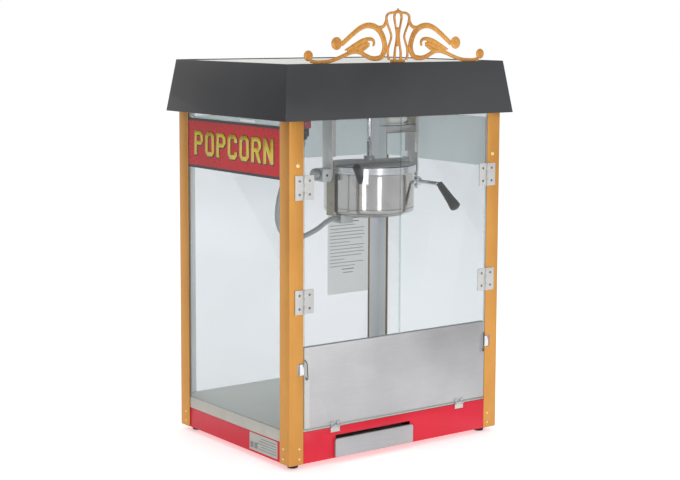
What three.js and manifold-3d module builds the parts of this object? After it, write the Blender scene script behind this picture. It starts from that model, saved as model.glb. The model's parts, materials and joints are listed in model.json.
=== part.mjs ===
// Counter-top popcorn machine: glazed cabinet on a steel base, two glass doors and a drop-down
// front panel, a tilting kettle with a driven stirrer hung under a flared canopy, a drawer for
// unpopped kernels, and a scrolled cresting on the roof.
// Millimetres, +Z up. Origin on the ground under the middle of the cabinet; the doors face -Y.
import * as THREE from "three";
import { mergeVertices } from "three/addons/utils/BufferGeometryUtils.js";
import Module from "manifold-3d";

const wasm = await Module();
wasm.setup();

// Overall
const CABINET_WIDTH = 508;
const CABINET_DEPTH = 386;
const FOOT_HEIGHT = 10;
const CANOPY_BOTTOM = 647;
const CANOPY_HEIGHT = 102;
const SHEET = 1.2;
const GAP = 0.3;

// Corner posts and glass
const POST_WIDTH = 31.75;
const POST_THICKNESS = 2;
const GLASS_THICKNESS = 4;

// Base, deck and feet
const BASE_SIDE_TOP = 49.5;
const BASE_FRONT_TOP = 70;
const DECK_TOP = 72;
const FOOT_RADIUS = 11.5;
const FOOT_INSET = 24;
const SLOT_MARGIN = 11.5;
const SLOT_WIDTH = 12;
const SLOT_PITCH = 26;
const SLOT_COUNT = 3;
const SLOT_SETBACK = 60;

// Kernel drawer
const DRAWER_CENTRE_X = -58.5;
const DRAWER_WIDTH = 173;
const DRAWER_HEIGHT = 30.5;
const DRAWER_DEPTH = 250;
const DRAWER_CLEARANCE = 3;
const DRAWER_LIFT = 1.8;
const PULL_BOTTOM = 12;
const PULL_SIDE_LAP = 7;
const PULL_TOP_LAP = 5.5;
const PULL_THICKNESS = 6;
const PULL_CORNER = 5;
const FINGER_SLOT = 5.7;

// Cord inlet in the back of the base
const INLET_FROM_SIDE = 74;
const INLET_HEIGHT = 31;
const INLET_FLANGE_RADIUS = 9;
const INLET_STEM_RADIUS = 6;
const INLET_BORE_RADIUS = 3.4;
const INLET_FLANGE_THICKNESS = 6.7;
const INLET_STEM_LENGTH = 14;

// Doors and drop panel
const DOOR_SEAM_X = 4;
const DOOR_GAP = 2;
const DOOR_THICKNESS = 4.5;
const DOOR_SIDE_GAP = 2.75;
const DOOR_BARREL_INSET = 0.85;
const UPPER_HINGE_FROM_TOP = 120;
const LOWER_HINGE_FROM_BOTTOM = 84;
const PANEL_BOTTOM = 76;
const PANEL_HEIGHT = 153;
const PANEL_SIDE_GAP = 1.65;
const PANEL_RETURN = 10;
const PANEL_HINGE_XS = [-150.5, 155];
const PANEL_HINGE_WIDTH = 21;
const PANEL_LEAF_DROP = 9;
const HINGE_HEIGHT = 45;
const HINGE_LEAF = 18;
const HINGE_THICKNESS = 1.6;
const HINGE_BARREL = 2.3;
const HINGE_PIN = 1.1;
const HINGE_PIN_CLEARANCE = 0.4;
const HINGE_KNUCKLE_GAP = 0.25;
const HINGE_LEAF_GAP = 0.5;
const CATCH_HEIGHT = 189;
const CATCH_PROUD = 1.5;
const CATCH_SIZE = [10, 8.5, 22];
const CATCH_TRAVEL = 3;

// Canopy
const CANOPY_OVERHANG_X = 20;
const CANOPY_OVERHANG_Y = 16.4;
const CANOPY_TOP_OVERHANG_X = 5.8;
const CANOPY_TOP_OVERHANG_Y = 0.3;
const CANOPY_WALL = 2;
const CANOPY_HEM = 2;
const CANOPY_TOP_DROP = 4;
const CEILING_RISE = 5;
const POST_BELOW_CANOPY_TOP = 12;
const SWITCH_COUNT = 3;
const SWITCH_SIZE = [19, 9, 25];
const SWITCH_PITCH = 36;
const SWITCH_CENTRE_X = -120;
const SWITCH_REST_ANGLE = 7;
const SWITCH_CLEARANCE = 1;

// Cresting on the roof: distances from its middle and from its foot, for one half
const CREST_SIDE_INSET = 37;
const CREST_HEIGHT = 103.4;
const CREST_THICKNESS = 6;
const CREST_SETBACK = 6;
const CREST_DRAWN_HALF_WIDTH = 217;
const CREST_DRAWN_HEIGHT = 101.7;
const CREST_SCROLL = [
  [132, 35], [108, 52.5], [88, 65], [70, 69.5], [53, 66], [41, 56.5], [34, 44], [31, 28],
  [38, 13], [51, 9], [64, 10], [77, 15], [90, 20.5], [104, 21.5], [120, 17.5], [138, 11],
  [160, 5.2], [186, 3.6], [204, 5.5],
];
const CREST_SCROLL_WIDTHS = [8, 10, 12, 9, 8, 7];
const CREST_LINK = [[56, 67], [43, 65.5], [33, 70], [28, 80]];
const CREST_LINK_WIDTHS = [8, 7];
const CREST_LEAF = [
  [128, 24], [107, 37.8], [88, 46.6], [73, 50.7], [60, 49.5], [53, 43], [52.5, 34], [56, 28],
  [61, 27], [66, 31], [72, 27], [80, 19], [100, 21], [120, 18],
];
const CREST_BALLS = [[206.5, 15.5, 10.5], [143, 37, 12.5]];
const CREST_SHELL = [
  [17.3, 2], [25.4, 11], [24.8, 26], [20.9, 38], [17.8, 48.5], [20.8, 59], [26.4, 71],
  [29.8, 83], [27, 90.5], [18.3, 94.5], [7.7, 95.6], [3.2, 99.8],
];
const CREST_SIDE_SLOT = [
  [20.3, 13], [15.3, 26], [10.7, 44], [12.3, 56], [17.3, 68], [21.9, 81], [17.5, 87.5],
  [13.4, 87], [9.6, 71], [5.2, 56], [5.2, 44], [8.4, 26], [9.6, 12],
];
const CREST_MIDDLE_SLOTS = [
  [[-3.4, 13], [3.4, 13], [2.6, 22], [0, 31], [-2.6, 22]],
  [[0, 66], [2.6, 76], [2.4, 88], [0, 92], [-2.4, 88], [-2.6, 76]],
];

// Kettle, measured from its tilt axis
const KETTLE_X = 60;
const KETTLE_Y = -20;
const PIVOT_DROP = 120;
const POT_RADIUS = 91;
const POT_DEPTH = 81;
const POT_WALL = 2;
const RIM_LIP = 3;
const RIM_TOP = 14;
const RIM_HEIGHT = 15;
const STRAP_WIDTH = 25;
const STRAP_THICKNESS = 2.2;
const STRAP_CLEARANCE = 0.6;
const STRAP_BELOW_POT = 3;
const PIN_RADIUS = 5;
const PIN_CLEARANCE = 0.4;
const CROSSBAR_WIDTH = 22;
const CROSSBAR_TOP = 22;
const BOSS_RADIUS = 11;
const BOSS_TOP = 30;
const LID_INSET = 4;
const LID_THICKNESS = 1.5;
const LID_CLEARANCE = 0.6;
const LID_HINGE_GAP = 1.5;
const HEATER_INSET = 17;
const HEATER_HEIGHT = 5;
const TERMINAL_INSET = 11;
const TERMINAL_SIZE = [30, 28, 18];
const STIRRER_CLEARANCE = 13;
const STIRRER_BLADE = [10, 4];
const PADDLE_SIZE = [3, 16];
const SHAFT_RADIUS = 5;
const STIRRER_TOP = 60;
const COUPLING_GAP = 2.5;

// Gear motor above the ceiling
const GEARBOX_SIZE = [68, 48, 30];
const MOTOR_RADIUS = 24;
const MOTOR_TOP = 72;
const MOTOR_OFFSET = 8;

// Hangers and what they carry
const HANGER_CLEARANCE = 7.2;
const RIGHT_HANGER_OUTSET = 10;
const HANGER_DEPTH = 33;
const HANGER_FLANGE = 9;
const HANGER_SHEET = 2;
const BLOCK_SIZE = [21, 30, 25];
const BLOCK_DROP = 2;
const KNOB_RADIUS = 11;
const KNOB_LENGTH = 13;
const LAMP_RADIUS = 12;
const LAMP_LENGTH = 48;
const LAMP_SHELF_HEIGHT = 88;
const LAMP_SHELF_REACH = 27;
const LAMP_SHELF_THICKNESS = 1.5;
const LAMP_SHELF_Y = [-20, 4];
const LAMP_SKIRT = 13;
const LAMP_LIP = 2.5;
const LAMP_HOLDER_LENGTH = 18;
const LAMP_CEILING_GAP = 2;
const LAMP_NECK = 8;

// Dump handle and side grip
const ARM_OFFSET = 11;
const ARM_PLATE = [4, 6.5];
const ARM_PLATE_WIDTH = 20;
const ARM_PLATE_RISE = 12;
const ARM_DROP = 28;
const ARM_HUB_RADIUS = 9;
const ARM_ROD_RADIUS = 4;
const ARM_ROD_LENGTH = 67;
const ARM_GRIP_LENGTH = 68;
const ARM_GRIP_RADII = [7, 11.5];
const ARM_GRIP_FALL = 40;
const SIDE_GRIP_AZIMUTH = 48;
const SIDE_GRIP_HEIGHT = -14;
const SIDE_GRIP_LENGTH = 52;
const SIDE_GRIP_RADII = [4.5, 8.5];
const SIDE_GRIP_RISE = 42;

// Kettle lead, from the kettle's terminal box to its plug under the ceiling. Its route is
// given from the terminal box at first and in the part's own frame after that
const LEAD_RADIUS = 5;
const PLUG_SIZE = [16, 16, 22];
const PLUG_BOOT = 7;
const SOCKET_SIDE = 22;
const LEAD_FROM_TERMINAL = [
  [0, 0, 0],
  [-9.4, 0, 0],
  [-27.4, -4, -4],
  [-54.4, -12, -15],
  [-84.4, -20, -23],
];
const LEAD_TO_PLUG = [
  [-135, -48, 409],
  [-160, -54, 413],
  [-179, -58, 426],
  [-189, -60, 446],
  [-190, -61, 472],
  [-184, -61, 500],
  [-172, -60, 528],
  [-157, -60, 556],
  [-144, -60, 574],
  [-134, -60, 586],
  [-130.5, -60, 593],
  [-130, -60, 599],
];

// Worked-out places
const halfX = CABINET_WIDTH / 2;
const halfY = CABINET_DEPTH / 2;
const insideX = halfX - POST_THICKNESS - GAP;
const insideY = halfY - POST_THICKNESS - GAP;
const postInnerX = halfX - POST_WIDTH;
const baseBottom = FOOT_HEIGHT;
const inletX = halfX - INLET_FROM_SIDE;
const canopyTop = CANOPY_BOTTOM + CANOPY_HEIGHT;
const ceilingBottom = CANOPY_BOTTOM + CEILING_RISE;
const doorFront = -halfY;
const doorBottom = PANEL_BOTTOM + PANEL_HEIGHT + DOOR_GAP;
const doorTop = CANOPY_BOTTOM - DOOR_GAP;
const doorHingeHeights = [doorTop - UPPER_HINGE_FROM_TOP, doorBottom + LOWER_HINGE_FROM_BOTTOM];
const catchLow = CATCH_HEIGHT - CATCH_SIZE[2] / 2;
const catchHigh = CATCH_HEIGHT + CATCH_SIZE[2] / 2;
const pullWidth = DRAWER_WIDTH + 2 * PULL_SIDE_LAP;
const pullHeight = DRAWER_HEIGHT + PULL_TOP_LAP;
const slotLength = DRAWER_WIDTH - 2 * SLOT_MARGIN;
const frontFace = -halfY + 0.4;
const pivotZ = CANOPY_BOTTOM - PIVOT_DROP;
const barrelY = -halfY - GAP - HINGE_BARREL;
const leafBackY = -halfY - GAP;
const panelAxisZ = PANEL_BOTTOM - 3;
const canopyTopBottom = canopyTop - CANOPY_TOP_DROP;
const crestY = -halfY + CREST_SETBACK;
const crestBottom = canopyTopBottom + CANOPY_WALL + GAP;
const potInner = POT_RADIUS - POT_WALL;
const rimRadius = POT_RADIUS + RIM_LIP;
const lidRadius = rimRadius - LID_INSET;
const lidBottom = RIM_TOP + LID_CLEARANCE;
const lidHingeY = CROSSBAR_WIDTH / 2 + LID_HINGE_GAP;
const heaterRadius = POT_RADIUS - HEATER_INSET;
const terminalReach = POT_RADIUS - TERMINAL_INSET;
const stirrerRadius = potInner - STIRRER_CLEARANCE;
const strapInner = rimRadius + STRAP_CLEARANCE;
const strapOuter = strapInner + STRAP_THICKNESS;
const leftWeb = strapOuter + HANGER_CLEARANCE;
const rightWeb = leftWeb + RIGHT_HANGER_OUTSET;
const armX = rightWeb + ARM_OFFSET;
const motorZ = ceilingBottom + SHEET + GAP;
const leadStart = [
  KETTLE_X - terminalReach - 2 * GAP,
  KETTLE_Y,
  pivotZ - POT_DEPTH - TERMINAL_SIZE[2] / 2 - 1,
];
const leadRoute = [
  ...LEAD_FROM_TERMINAL.map((offset) => offset.map((value, i) => leadStart[i] + value)),
  ...LEAD_TO_PLUG,
];

const finish = (color, roughness, metalness) =>
  new THREE.MeshStandardMaterial({ color, roughness, metalness });
const gold = finish(0xc98a3c, 0.4, 0.9);
const red = finish(0xc8243c, 0.35, 0.1);
const charcoal = finish(0x4a4b4e, 0.5, 0.2);
const steel = finish(0xc4c4c2, 0.35, 0.9);
const chrome = finish(0xdedee0, 0.15, 1);
const glass = new THREE.MeshStandardMaterial({
  color: 0xdfe8e6,
  roughness: 0.05,
  metalness: 0,
  transparent: true,
  opacity: 0.25,
});
const rubber = finish(0x18181a, 0.8, 0);
const blackPlastic = finish(0x1c1c1e, 0.5, 0);
const grey = finish(0x8a8b8c, 0.6, 0.3);
const white = finish(0xeeece6, 0.5, 0);
const khaki = finish(0x8c8a66, 0.6, 0);
const antiqueGold = finish(0xb08a45, 0.45, 0.8);

const part = new THREE.Group();
const kettle = new THREE.Group();
kettle.position.set(KETTLE_X, KETTLE_Y, pivotZ);
part.add(kettle);

function add(parent, name, shape, material) {
  const geometry = shape.isBufferGeometry ? shape : geometryOf(shape);
  const mesh = new THREE.Mesh(geometry, material);
  mesh.name = name;
  parent.add(mesh);
  return mesh;
}

function solid(geometry) {
  const bare = geometry.clone();
  bare.deleteAttribute("normal");
  bare.deleteAttribute("uv");
  const merged = mergeVertices(bare, 1e-4);
  return new wasm.Manifold(
    new wasm.Mesh({
      numProp: 3,
      vertProperties: merged.attributes.position.array,
      triVerts: new Uint32Array(merged.index.array),
    }),
  );
}

function geometryOf(manifold) {
  const mesh = manifold.getMesh();
  const geometry = new THREE.BufferGeometry();
  geometry.setAttribute("position", new THREE.BufferAttribute(mesh.vertProperties, 3));
  geometry.setIndex(new THREE.BufferAttribute(mesh.triVerts, 1));
  geometry.computeVertexNormals();
  return geometry;
}

const joined = (first, ...rest) => rest.reduce((sum, next) => sum.add(next), first);
const cut = (first, ...rest) => rest.reduce((sum, next) => sum.subtract(next), first);

// A box from its lowest to its highest corner; the corners may be given in either order.
function block(a, b) {
  const size = a.map((low, i) => Math.abs(b[i] - low));
  const centre = a.map((low, i) => (low + b[i]) / 2);
  return solid(new THREE.BoxGeometry(...size).translate(...centre));
}

// A round bar from a to b, with its own radius at each end.
function bar(a, b, radiusA, radiusB = radiusA, sides = 16) {
  const start = new THREE.Vector3(...a);
  const along = new THREE.Vector3(...b).sub(start);
  const geometry = new THREE.CylinderGeometry(radiusB, radiusA, along.length(), sides);
  geometry.translate(0, along.length() / 2, 0);
  const turn = new THREE.Quaternion().setFromUnitVectors(
    new THREE.Vector3(0, 1, 0),
    along.normalize(),
  );
  geometry.applyQuaternion(turn);
  geometry.translate(...start.toArray());
  return solid(geometry);
}

// A profile of [radius, height] points turned about +Z.
function turned(profile, sides) {
  const points = profile.map(([r, z]) => new THREE.Vector2(r, z));
  return solid(new THREE.LatheGeometry(points, sides).rotateX(Math.PI / 2));
}

// A flat outline in X and Z, given a thickness from y towards +Y.
function plate(shape, y, thickness, curveSegments = 8) {
  const geometry = new THREE.ExtrudeGeometry(shape, {
    depth: thickness,
    bevelEnabled: false,
    curveSegments,
  });
  return solid(geometry.rotateX(Math.PI / 2).translate(0, y + thickness, 0));
}

function makeFeet() {
  const places = { front: -1, back: 1 };
  for (const [end, ySign] of Object.entries(places)) {
    for (const [side, xSign] of [["left", -1], ["right", 1]]) {
      const x = xSign * (halfX - FOOT_INSET);
      const y = ySign * (halfY - FOOT_INSET);
      const foot = bar([x, y, 0], [x, y, FOOT_HEIGHT - GAP], FOOT_RADIUS - 1.5, FOOT_RADIUS);
      add(part, `foot_${end}_${side}`, foot, rubber);
    }
  }
}

function makeBase() {
  const outer = block([-insideX, -insideY, baseBottom], [insideX, insideY, BASE_SIDE_TOP]);
  const hollow = block(
    [-insideX + SHEET, -insideY - SHEET, baseBottom + SHEET],
    [insideX - SHEET, insideY - SHEET, BASE_SIDE_TOP + SHEET],
  );
  const inletHole = bar(
    [inletX, insideY - 3, INLET_HEIGHT],
    [inletX, insideY + 3, INLET_HEIGHT],
    INLET_STEM_RADIUS + 0.5,
  );
  add(part, "base_tray", cut(outer, hollow, inletHole), red);

  const panel = block(
    [-postInnerX + GAP, frontFace, baseBottom + GAP],
    [postInnerX - GAP, frontFace + SHEET, BASE_FRONT_TOP],
  );
  const half = DRAWER_WIDTH / 2 + DRAWER_CLEARANCE;
  const opening = block(
    [DRAWER_CENTRE_X - half, frontFace - 1, PULL_BOTTOM + 1],
    [DRAWER_CENTRE_X + half, frontFace + 3, PULL_BOTTOM + pullHeight + FINGER_SLOT],
  );
  add(part, "base_front_panel", cut(panel, opening), red);
}

function makeDeck() {
  const outer = block([-insideX, frontFace, BASE_SIDE_TOP + GAP], [insideX, insideY, DECK_TOP]);
  const hollow = block(
    [-insideX + SHEET, frontFace - 1, 0],
    [insideX - SHEET, insideY - SHEET, DECK_TOP - SHEET],
  );
  const postClear = block([postInnerX - GAP, frontFace - 1, 0], [halfX, -insideY, DECK_TOP + 1]);
  const otherClear = block([-halfX, frontFace - 1, 0], [-postInnerX + GAP, -insideY, DECK_TOP + 1]);
  const slots = [];
  for (let i = 0; i < SLOT_COUNT; i += 1) {
    const y = -halfY + SLOT_SETBACK + i * SLOT_PITCH;
    slots.push(
      block(
        [DRAWER_CENTRE_X - slotLength / 2, y, DECK_TOP - 5],
        [DRAWER_CENTRE_X + slotLength / 2, y + SLOT_WIDTH, DECK_TOP + 5],
      ),
    );
  }
  add(part, "deck_pan", cut(outer, hollow, postClear, otherClear, ...slots), steel);
}

function makeInlet() {
  const at = (y) => [inletX, insideY + y, INLET_HEIGHT];
  const flange = bar(at(GAP), at(INLET_FLANGE_THICKNESS), INLET_FLANGE_RADIUS);
  const stem = bar(at(2 - INLET_STEM_LENGTH), at(2), INLET_STEM_RADIUS);
  const bore = bar(at(1 - INLET_STEM_LENGTH), at(INLET_FLANGE_THICKNESS + 1), INLET_BORE_RADIUS);
  add(part, "cord_inlet", cut(joined(flange, stem), bore), blackPlastic);
}

function makeDrawer() {
  const half = DRAWER_WIDTH / 2;
  const bottom = PULL_BOTTOM + DRAWER_LIFT;
  const outer = block(
    [DRAWER_CENTRE_X - half, frontFace, bottom],
    [DRAWER_CENTRE_X + half, -halfY + DRAWER_DEPTH, bottom + DRAWER_HEIGHT],
  );
  const hollow = block(
    [DRAWER_CENTRE_X - half + SHEET, frontFace + SHEET, bottom + SHEET],
    [DRAWER_CENTRE_X + half - SHEET, -halfY + DRAWER_DEPTH - SHEET, bottom + DRAWER_HEIGHT + 1],
  );
  add(part, "drawer_tray", cut(outer, hollow), steel);

  const corner = PULL_CORNER;
  const left = DRAWER_CENTRE_X - pullWidth / 2;
  const right = DRAWER_CENTRE_X + pullWidth / 2;
  const low = PULL_BOTTOM;
  const high = PULL_BOTTOM + pullHeight;
  const outline = new THREE.Shape();
  outline.moveTo(left + corner, low);
  outline.lineTo(right - corner, low);
  outline.absarc(right - corner, low + corner, corner, -Math.PI / 2, 0);
  outline.lineTo(right, high - corner);
  outline.absarc(right - corner, high - corner, corner, 0, Math.PI / 2);
  outline.lineTo(left + corner, high);
  outline.absarc(left + corner, high - corner, corner, Math.PI / 2, Math.PI);
  outline.lineTo(left, low + corner);
  outline.absarc(left + corner, low + corner, corner, Math.PI, 1.5 * Math.PI);
  const pull = plate(outline, frontFace - GAP - PULL_THICKNESS, PULL_THICKNESS, 4);
  add(part, "drawer_pull", pull, steel);
}

function makePosts() {
  const top = canopyTop - POST_BELOW_CANOPY_TOP;
  for (const [end, ySign] of [["front", -1], ["back", 1]]) {
    for (const [side, xSign] of [["left", -1], ["right", 1]]) {
      const outer = block(
        [xSign * halfX, ySign * halfY, baseBottom],
        [xSign * postInnerX, ySign * (halfY - POST_WIDTH), top],
      );
      const inner = block(
        [xSign * (halfX - POST_THICKNESS), ySign * (halfY - POST_THICKNESS), 0],
        [0, 0, top + 1],
      );
      const notch = block(
        [xSign * (postInnerX + CATCH_SIZE[0] + CATCH_TRAVEL), -halfY - 1, catchLow - GAP],
        [xSign * (postInnerX - 1), -halfY + POST_THICKNESS + 1, catchHigh + GAP],
      );
      const post = end === "front" ? cut(outer, inner, notch) : cut(outer, inner);
      add(part, `post_${end}_${side}`, post, gold);
    }
  }
}

function makeCatches() {
  for (const [side, xSign] of [["left", -1], ["right", 1]]) {
    const nose = postInnerX - PANEL_SIDE_GAP + 0.4 + GAP;
    const tab = block(
      [xSign * nose, -halfY - CATCH_PROUD, catchLow],
      [xSign * (nose + CATCH_SIZE[0]), -halfY - CATCH_PROUD + CATCH_SIZE[1], catchHigh],
    );
    add(part, `catch_${side}`, tab, steel);
  }
}

function makeGlass() {
  const low = DECK_TOP + GAP;
  const high = ceilingBottom - GAP;
  for (const [side, xSign] of [["left", -1], ["right", 1]]) {
    const pane = block(
      [xSign * insideX, -insideY, low],
      [xSign * (insideX - GLASS_THICKNESS), insideY, high],
    );
    add(part, `${side}_glass`, pane, glass);
  }
  const backHalf = insideX - GLASS_THICKNESS - GAP;
  const back = block([-backHalf, insideY - GLASS_THICKNESS, low], [backHalf, insideY, high]);
  add(part, "back_glass", back, glass);
}

// One leaf of a butt hinge on the front face, seen with its barrel on the Z axis through the
// origin: side is -1 or +1, and the fixed leaf carries the pin and the middle knuckle.
function hingeLeaf(side, fixed) {
  const halfHeight = HINGE_HEIGHT / 2;
  const knuckle = HINGE_HEIGHT / 6;
  const plateStart = HINGE_BARREL + HINGE_LEAF_GAP;
  const back = HINGE_BARREL;
  const front = back - HINGE_THICKNESS;
  let leaf = block(
    [side * plateStart, front, -halfHeight],
    [side * (plateStart + HINGE_LEAF), back, halfHeight],
  );
  const spans = fixed
    ? [[-knuckle, knuckle]]
    : [
        [-halfHeight, -knuckle - HINGE_KNUCKLE_GAP],
        [knuckle + HINGE_KNUCKLE_GAP, halfHeight],
      ];
  for (const [low, high] of spans) {
    const neck = block([0, front, low], [side * (plateStart + 1), back, high]);
    leaf = joined(leaf, neck, bar([0, 0, low], [0, 0, high], HINGE_BARREL, HINGE_BARREL, 12));
  }
  if (fixed) {
    return joined(leaf, bar([0, 0, -halfHeight], [0, 0, halfHeight], HINGE_PIN, HINGE_PIN, 8));
  }
  const hole = HINGE_PIN + HINGE_PIN_CLEARANCE;
  return cut(leaf, bar([0, 0, -halfHeight - 1], [0, 0, halfHeight + 1], hole, hole, 8));
}

function makeDoors() {
  const levels = ["upper", "lower"];
  for (const [side, xSign] of [["left", -1], ["right", 1]]) {
    const outerEdge = xSign * (postInnerX - DOOR_SIDE_GAP);
    const seam = DOOR_SEAM_X + (xSign * DOOR_GAP) / 2;
    const pane = block(
      [outerEdge, doorFront, doorBottom],
      [seam, doorFront + DOOR_THICKNESS, doorTop],
    );
    add(part, `${side}_door_glass`, pane, glass);
    levels.forEach((level, i) => {
      const x = xSign * (postInnerX - DOOR_BARREL_INSET);
      const place = [x, barrelY, doorHingeHeights[i]];
      const fixedLeaf = add(part, `${side}_post_leaf_${level}`, hingeLeaf(xSign, true), chrome);
      fixedLeaf.position.set(...place);
      const doorLeaf = add(part, `${side}_door_leaf_${level}`, hingeLeaf(-xSign, false), chrome);
      doorLeaf.position.set(...place);
    });
  }
}

function makeDropPanel() {
  const half = postInnerX - PANEL_SIDE_GAP;
  const top = PANEL_BOTTOM + PANEL_HEIGHT;
  const outer = block([-half, -halfY, PANEL_BOTTOM], [half, -halfY + PANEL_RETURN, top]);
  const hollow = block(
    [-half + SHEET, -halfY + SHEET, PANEL_BOTTOM - 1],
    [half - SHEET, -halfY + PANEL_RETURN + 1, top - SHEET],
  );
  let panel = cut(outer, hollow);
  const knuckle = PANEL_HINGE_WIDTH / 6;
  const leafFront = leafBackY - HINGE_THICKNESS;
  const rod = (low, high, radius, sides) =>
    bar([low, barrelY, panelAxisZ], [high, barrelY, panelAxisZ], radius, radius, sides);
  PANEL_HINGE_XS.forEach((x, i) => {
    const left = x - PANEL_HINGE_WIDTH / 2;
    const right = x + PANEL_HINGE_WIDTH / 2;
    for (const [low, high] of [
      [left, x - knuckle - HINGE_KNUCKLE_GAP],
      [x + knuckle + HINGE_KNUCKLE_GAP, right],
    ]) {
      const tab = block([low, leafFront, panelAxisZ], [high, -halfY + 0.5, PANEL_BOTTOM + 5]);
      const bore = rod(low - 1, high + 1, HINGE_PIN + HINGE_PIN_CLEARANCE, 8);
      panel = cut(joined(panel, tab, rod(low, high, HINGE_BARREL, 12)), bore);
    }
    const leafTop = panelAxisZ - HINGE_BARREL - HINGE_LEAF_GAP;
    const leaf = joined(
      block([left, leafFront, BASE_FRONT_TOP - PANEL_LEAF_DROP], [right, leafBackY, leafTop]),
      block([x - knuckle, leafFront, leafTop - 1], [x + knuckle, leafBackY, panelAxisZ]),
      rod(x - knuckle, x + knuckle, HINGE_BARREL, 12),
      rod(left, right, HINGE_PIN, 8),
    );
    add(part, `panel_hinge_${["left", "right"][i]}`, leaf, chrome);
  });
  add(part, "drop_panel", panel, steel);
}

// A four-sided frustum between two heights, given half-widths at the bottom and the top.
function frustum(bottomHalf, bottomZ, topHalf, topZ) {
  const corners = [];
  for (const [half, z] of [[bottomHalf, bottomZ], [topHalf, topZ]]) {
    corners.push([-half[0], -half[1], z], [half[0], -half[1], z]);
    corners.push([half[0], half[1], z], [-half[0], half[1], z]);
  }
  const faces = [0, 2, 1, 0, 3, 2, 4, 5, 6, 4, 6, 7];
  for (let i = 0; i < 4; i += 1) {
    const j = (i + 1) % 4;
    faces.push(i, j, j + 4, i, j + 4, i + 4);
  }
  const geometry = new THREE.BufferGeometry();
  geometry.setAttribute("position", new THREE.Float32BufferAttribute(corners.flat(), 3));
  geometry.setIndex(faces);
  return solid(geometry);
}

const canopyHalf = (z) => {
  const share = (z - CANOPY_BOTTOM) / CANOPY_HEIGHT;
  return [
    halfX + CANOPY_OVERHANG_X + share * (CANOPY_TOP_OVERHANG_X - CANOPY_OVERHANG_X),
    halfY + CANOPY_OVERHANG_Y + share * (CANOPY_TOP_OVERHANG_Y - CANOPY_OVERHANG_Y),
  ];
};
const canopySlope = Math.atan((CANOPY_OVERHANG_Y - CANOPY_TOP_OVERHANG_Y) / CANOPY_HEIGHT);
const switchZ = CANOPY_BOTTOM + CANOPY_HEIGHT / 2;
const switchXs = Array.from(
  { length: SWITCH_COUNT },
  (_, i) => SWITCH_CENTRE_X + (i - (SWITCH_COUNT - 1) / 2) * SWITCH_PITCH,
);

function makeCanopy() {
  const low = canopyHalf(CANOPY_BOTTOM);
  const high = canopyHalf(canopyTop);
  const shrink = (half, by) => half.map((value) => value - by);
  const skin = frustum(low, CANOPY_BOTTOM, high, canopyTop);
  const hollowBottom = CANOPY_BOTTOM + CANOPY_HEM;
  const hollow = frustum(
    shrink(canopyHalf(hollowBottom), CANOPY_WALL),
    hollowBottom,
    shrink(canopyHalf(canopyTop + 1), CANOPY_WALL),
    canopyTop + 1,
  );
  const mouth = block(
    [-halfX - DOOR_GAP, -halfY - DOOR_GAP, CANOPY_BOTTOM - 1],
    [halfX + DOOR_GAP, halfY + DOOR_GAP, CANOPY_BOTTOM + 10],
  );
  const y = canopyHalf(switchZ)[1];
  const holeX = SWITCH_SIZE[0] / 2 + SWITCH_CLEARANCE;
  const holeZ = SWITCH_SIZE[2] / 2 + SWITCH_CLEARANCE;
  const holes = switchXs.map((x) =>
    block([x - holeX, y - 20, switchZ - holeZ], [x + holeX, y + 20, switchZ + holeZ]),
  );
  add(part, "canopy_fascia", cut(skin, hollow, mouth, ...holes), charcoal);

  const topHalf = shrink(canopyHalf(canopyTop), CANOPY_WALL + 0.5);
  const top = block(
    [-topHalf[0], -topHalf[1], canopyTopBottom],
    [topHalf[0], topHalf[1], canopyTopBottom + CANOPY_WALL],
  );
  add(part, "canopy_top", top, white);

  const ceiling = block(
    [-insideX, -insideY, ceilingBottom],
    [insideX, insideY, ceilingBottom + SHEET],
  );
  const shaftHole = bar(
    [KETTLE_X, KETTLE_Y, ceilingBottom - 1],
    [KETTLE_X, KETTLE_Y, ceilingBottom + 3],
    SHAFT_RADIUS + 1,
  );
  add(part, "ceiling_plate", cut(ceiling, shaftHole), grey);
}

function makeSwitches() {
  const names = ["light", "heat", "motor"];
  const y = canopyHalf(switchZ)[1] - CANOPY_WALL / 2;
  switchXs.forEach((x, i) => {
    const shape = new THREE.BoxGeometry(...SWITCH_SIZE);
    const rocker = add(part, `switch_${names[i]}`, shape, blackPlastic);
    rocker.position.set(x, y, switchZ);
    rocker.rotation.x = canopySlope - THREE.MathUtils.degToRad(SWITCH_REST_ANGLE);
  });
}

// The outline of a strip along a curve, whose width runs through the given widths.
function strip(points, widths) {
  const curve = new THREE.CatmullRomCurve3(points.map(([x, z]) => new THREE.Vector3(x, z, 0)));
  const steps = Math.max(8, Math.round(curve.getLength() / 7));
  const sides = [[], []];
  for (let i = 0; i <= steps; i += 1) {
    const share = i / steps;
    const at = curve.getPointAt(share);
    const along = curve.getTangentAt(share);
    const place = share * (widths.length - 1);
    const from = Math.min(Math.floor(place), widths.length - 2);
    const width = widths[from] + (place - from) * (widths[from + 1] - widths[from]);
    const off = new THREE.Vector2(-along.y, along.x).multiplyScalar(width / 2);
    sides[0].push(new THREE.Vector2(at.x + off.x, at.y + off.y));
    sides[1].unshift(new THREE.Vector2(at.x - off.x, at.y - off.y));
  }
  return new THREE.Shape([...sides[0], ...sides[1]]);
}

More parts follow.
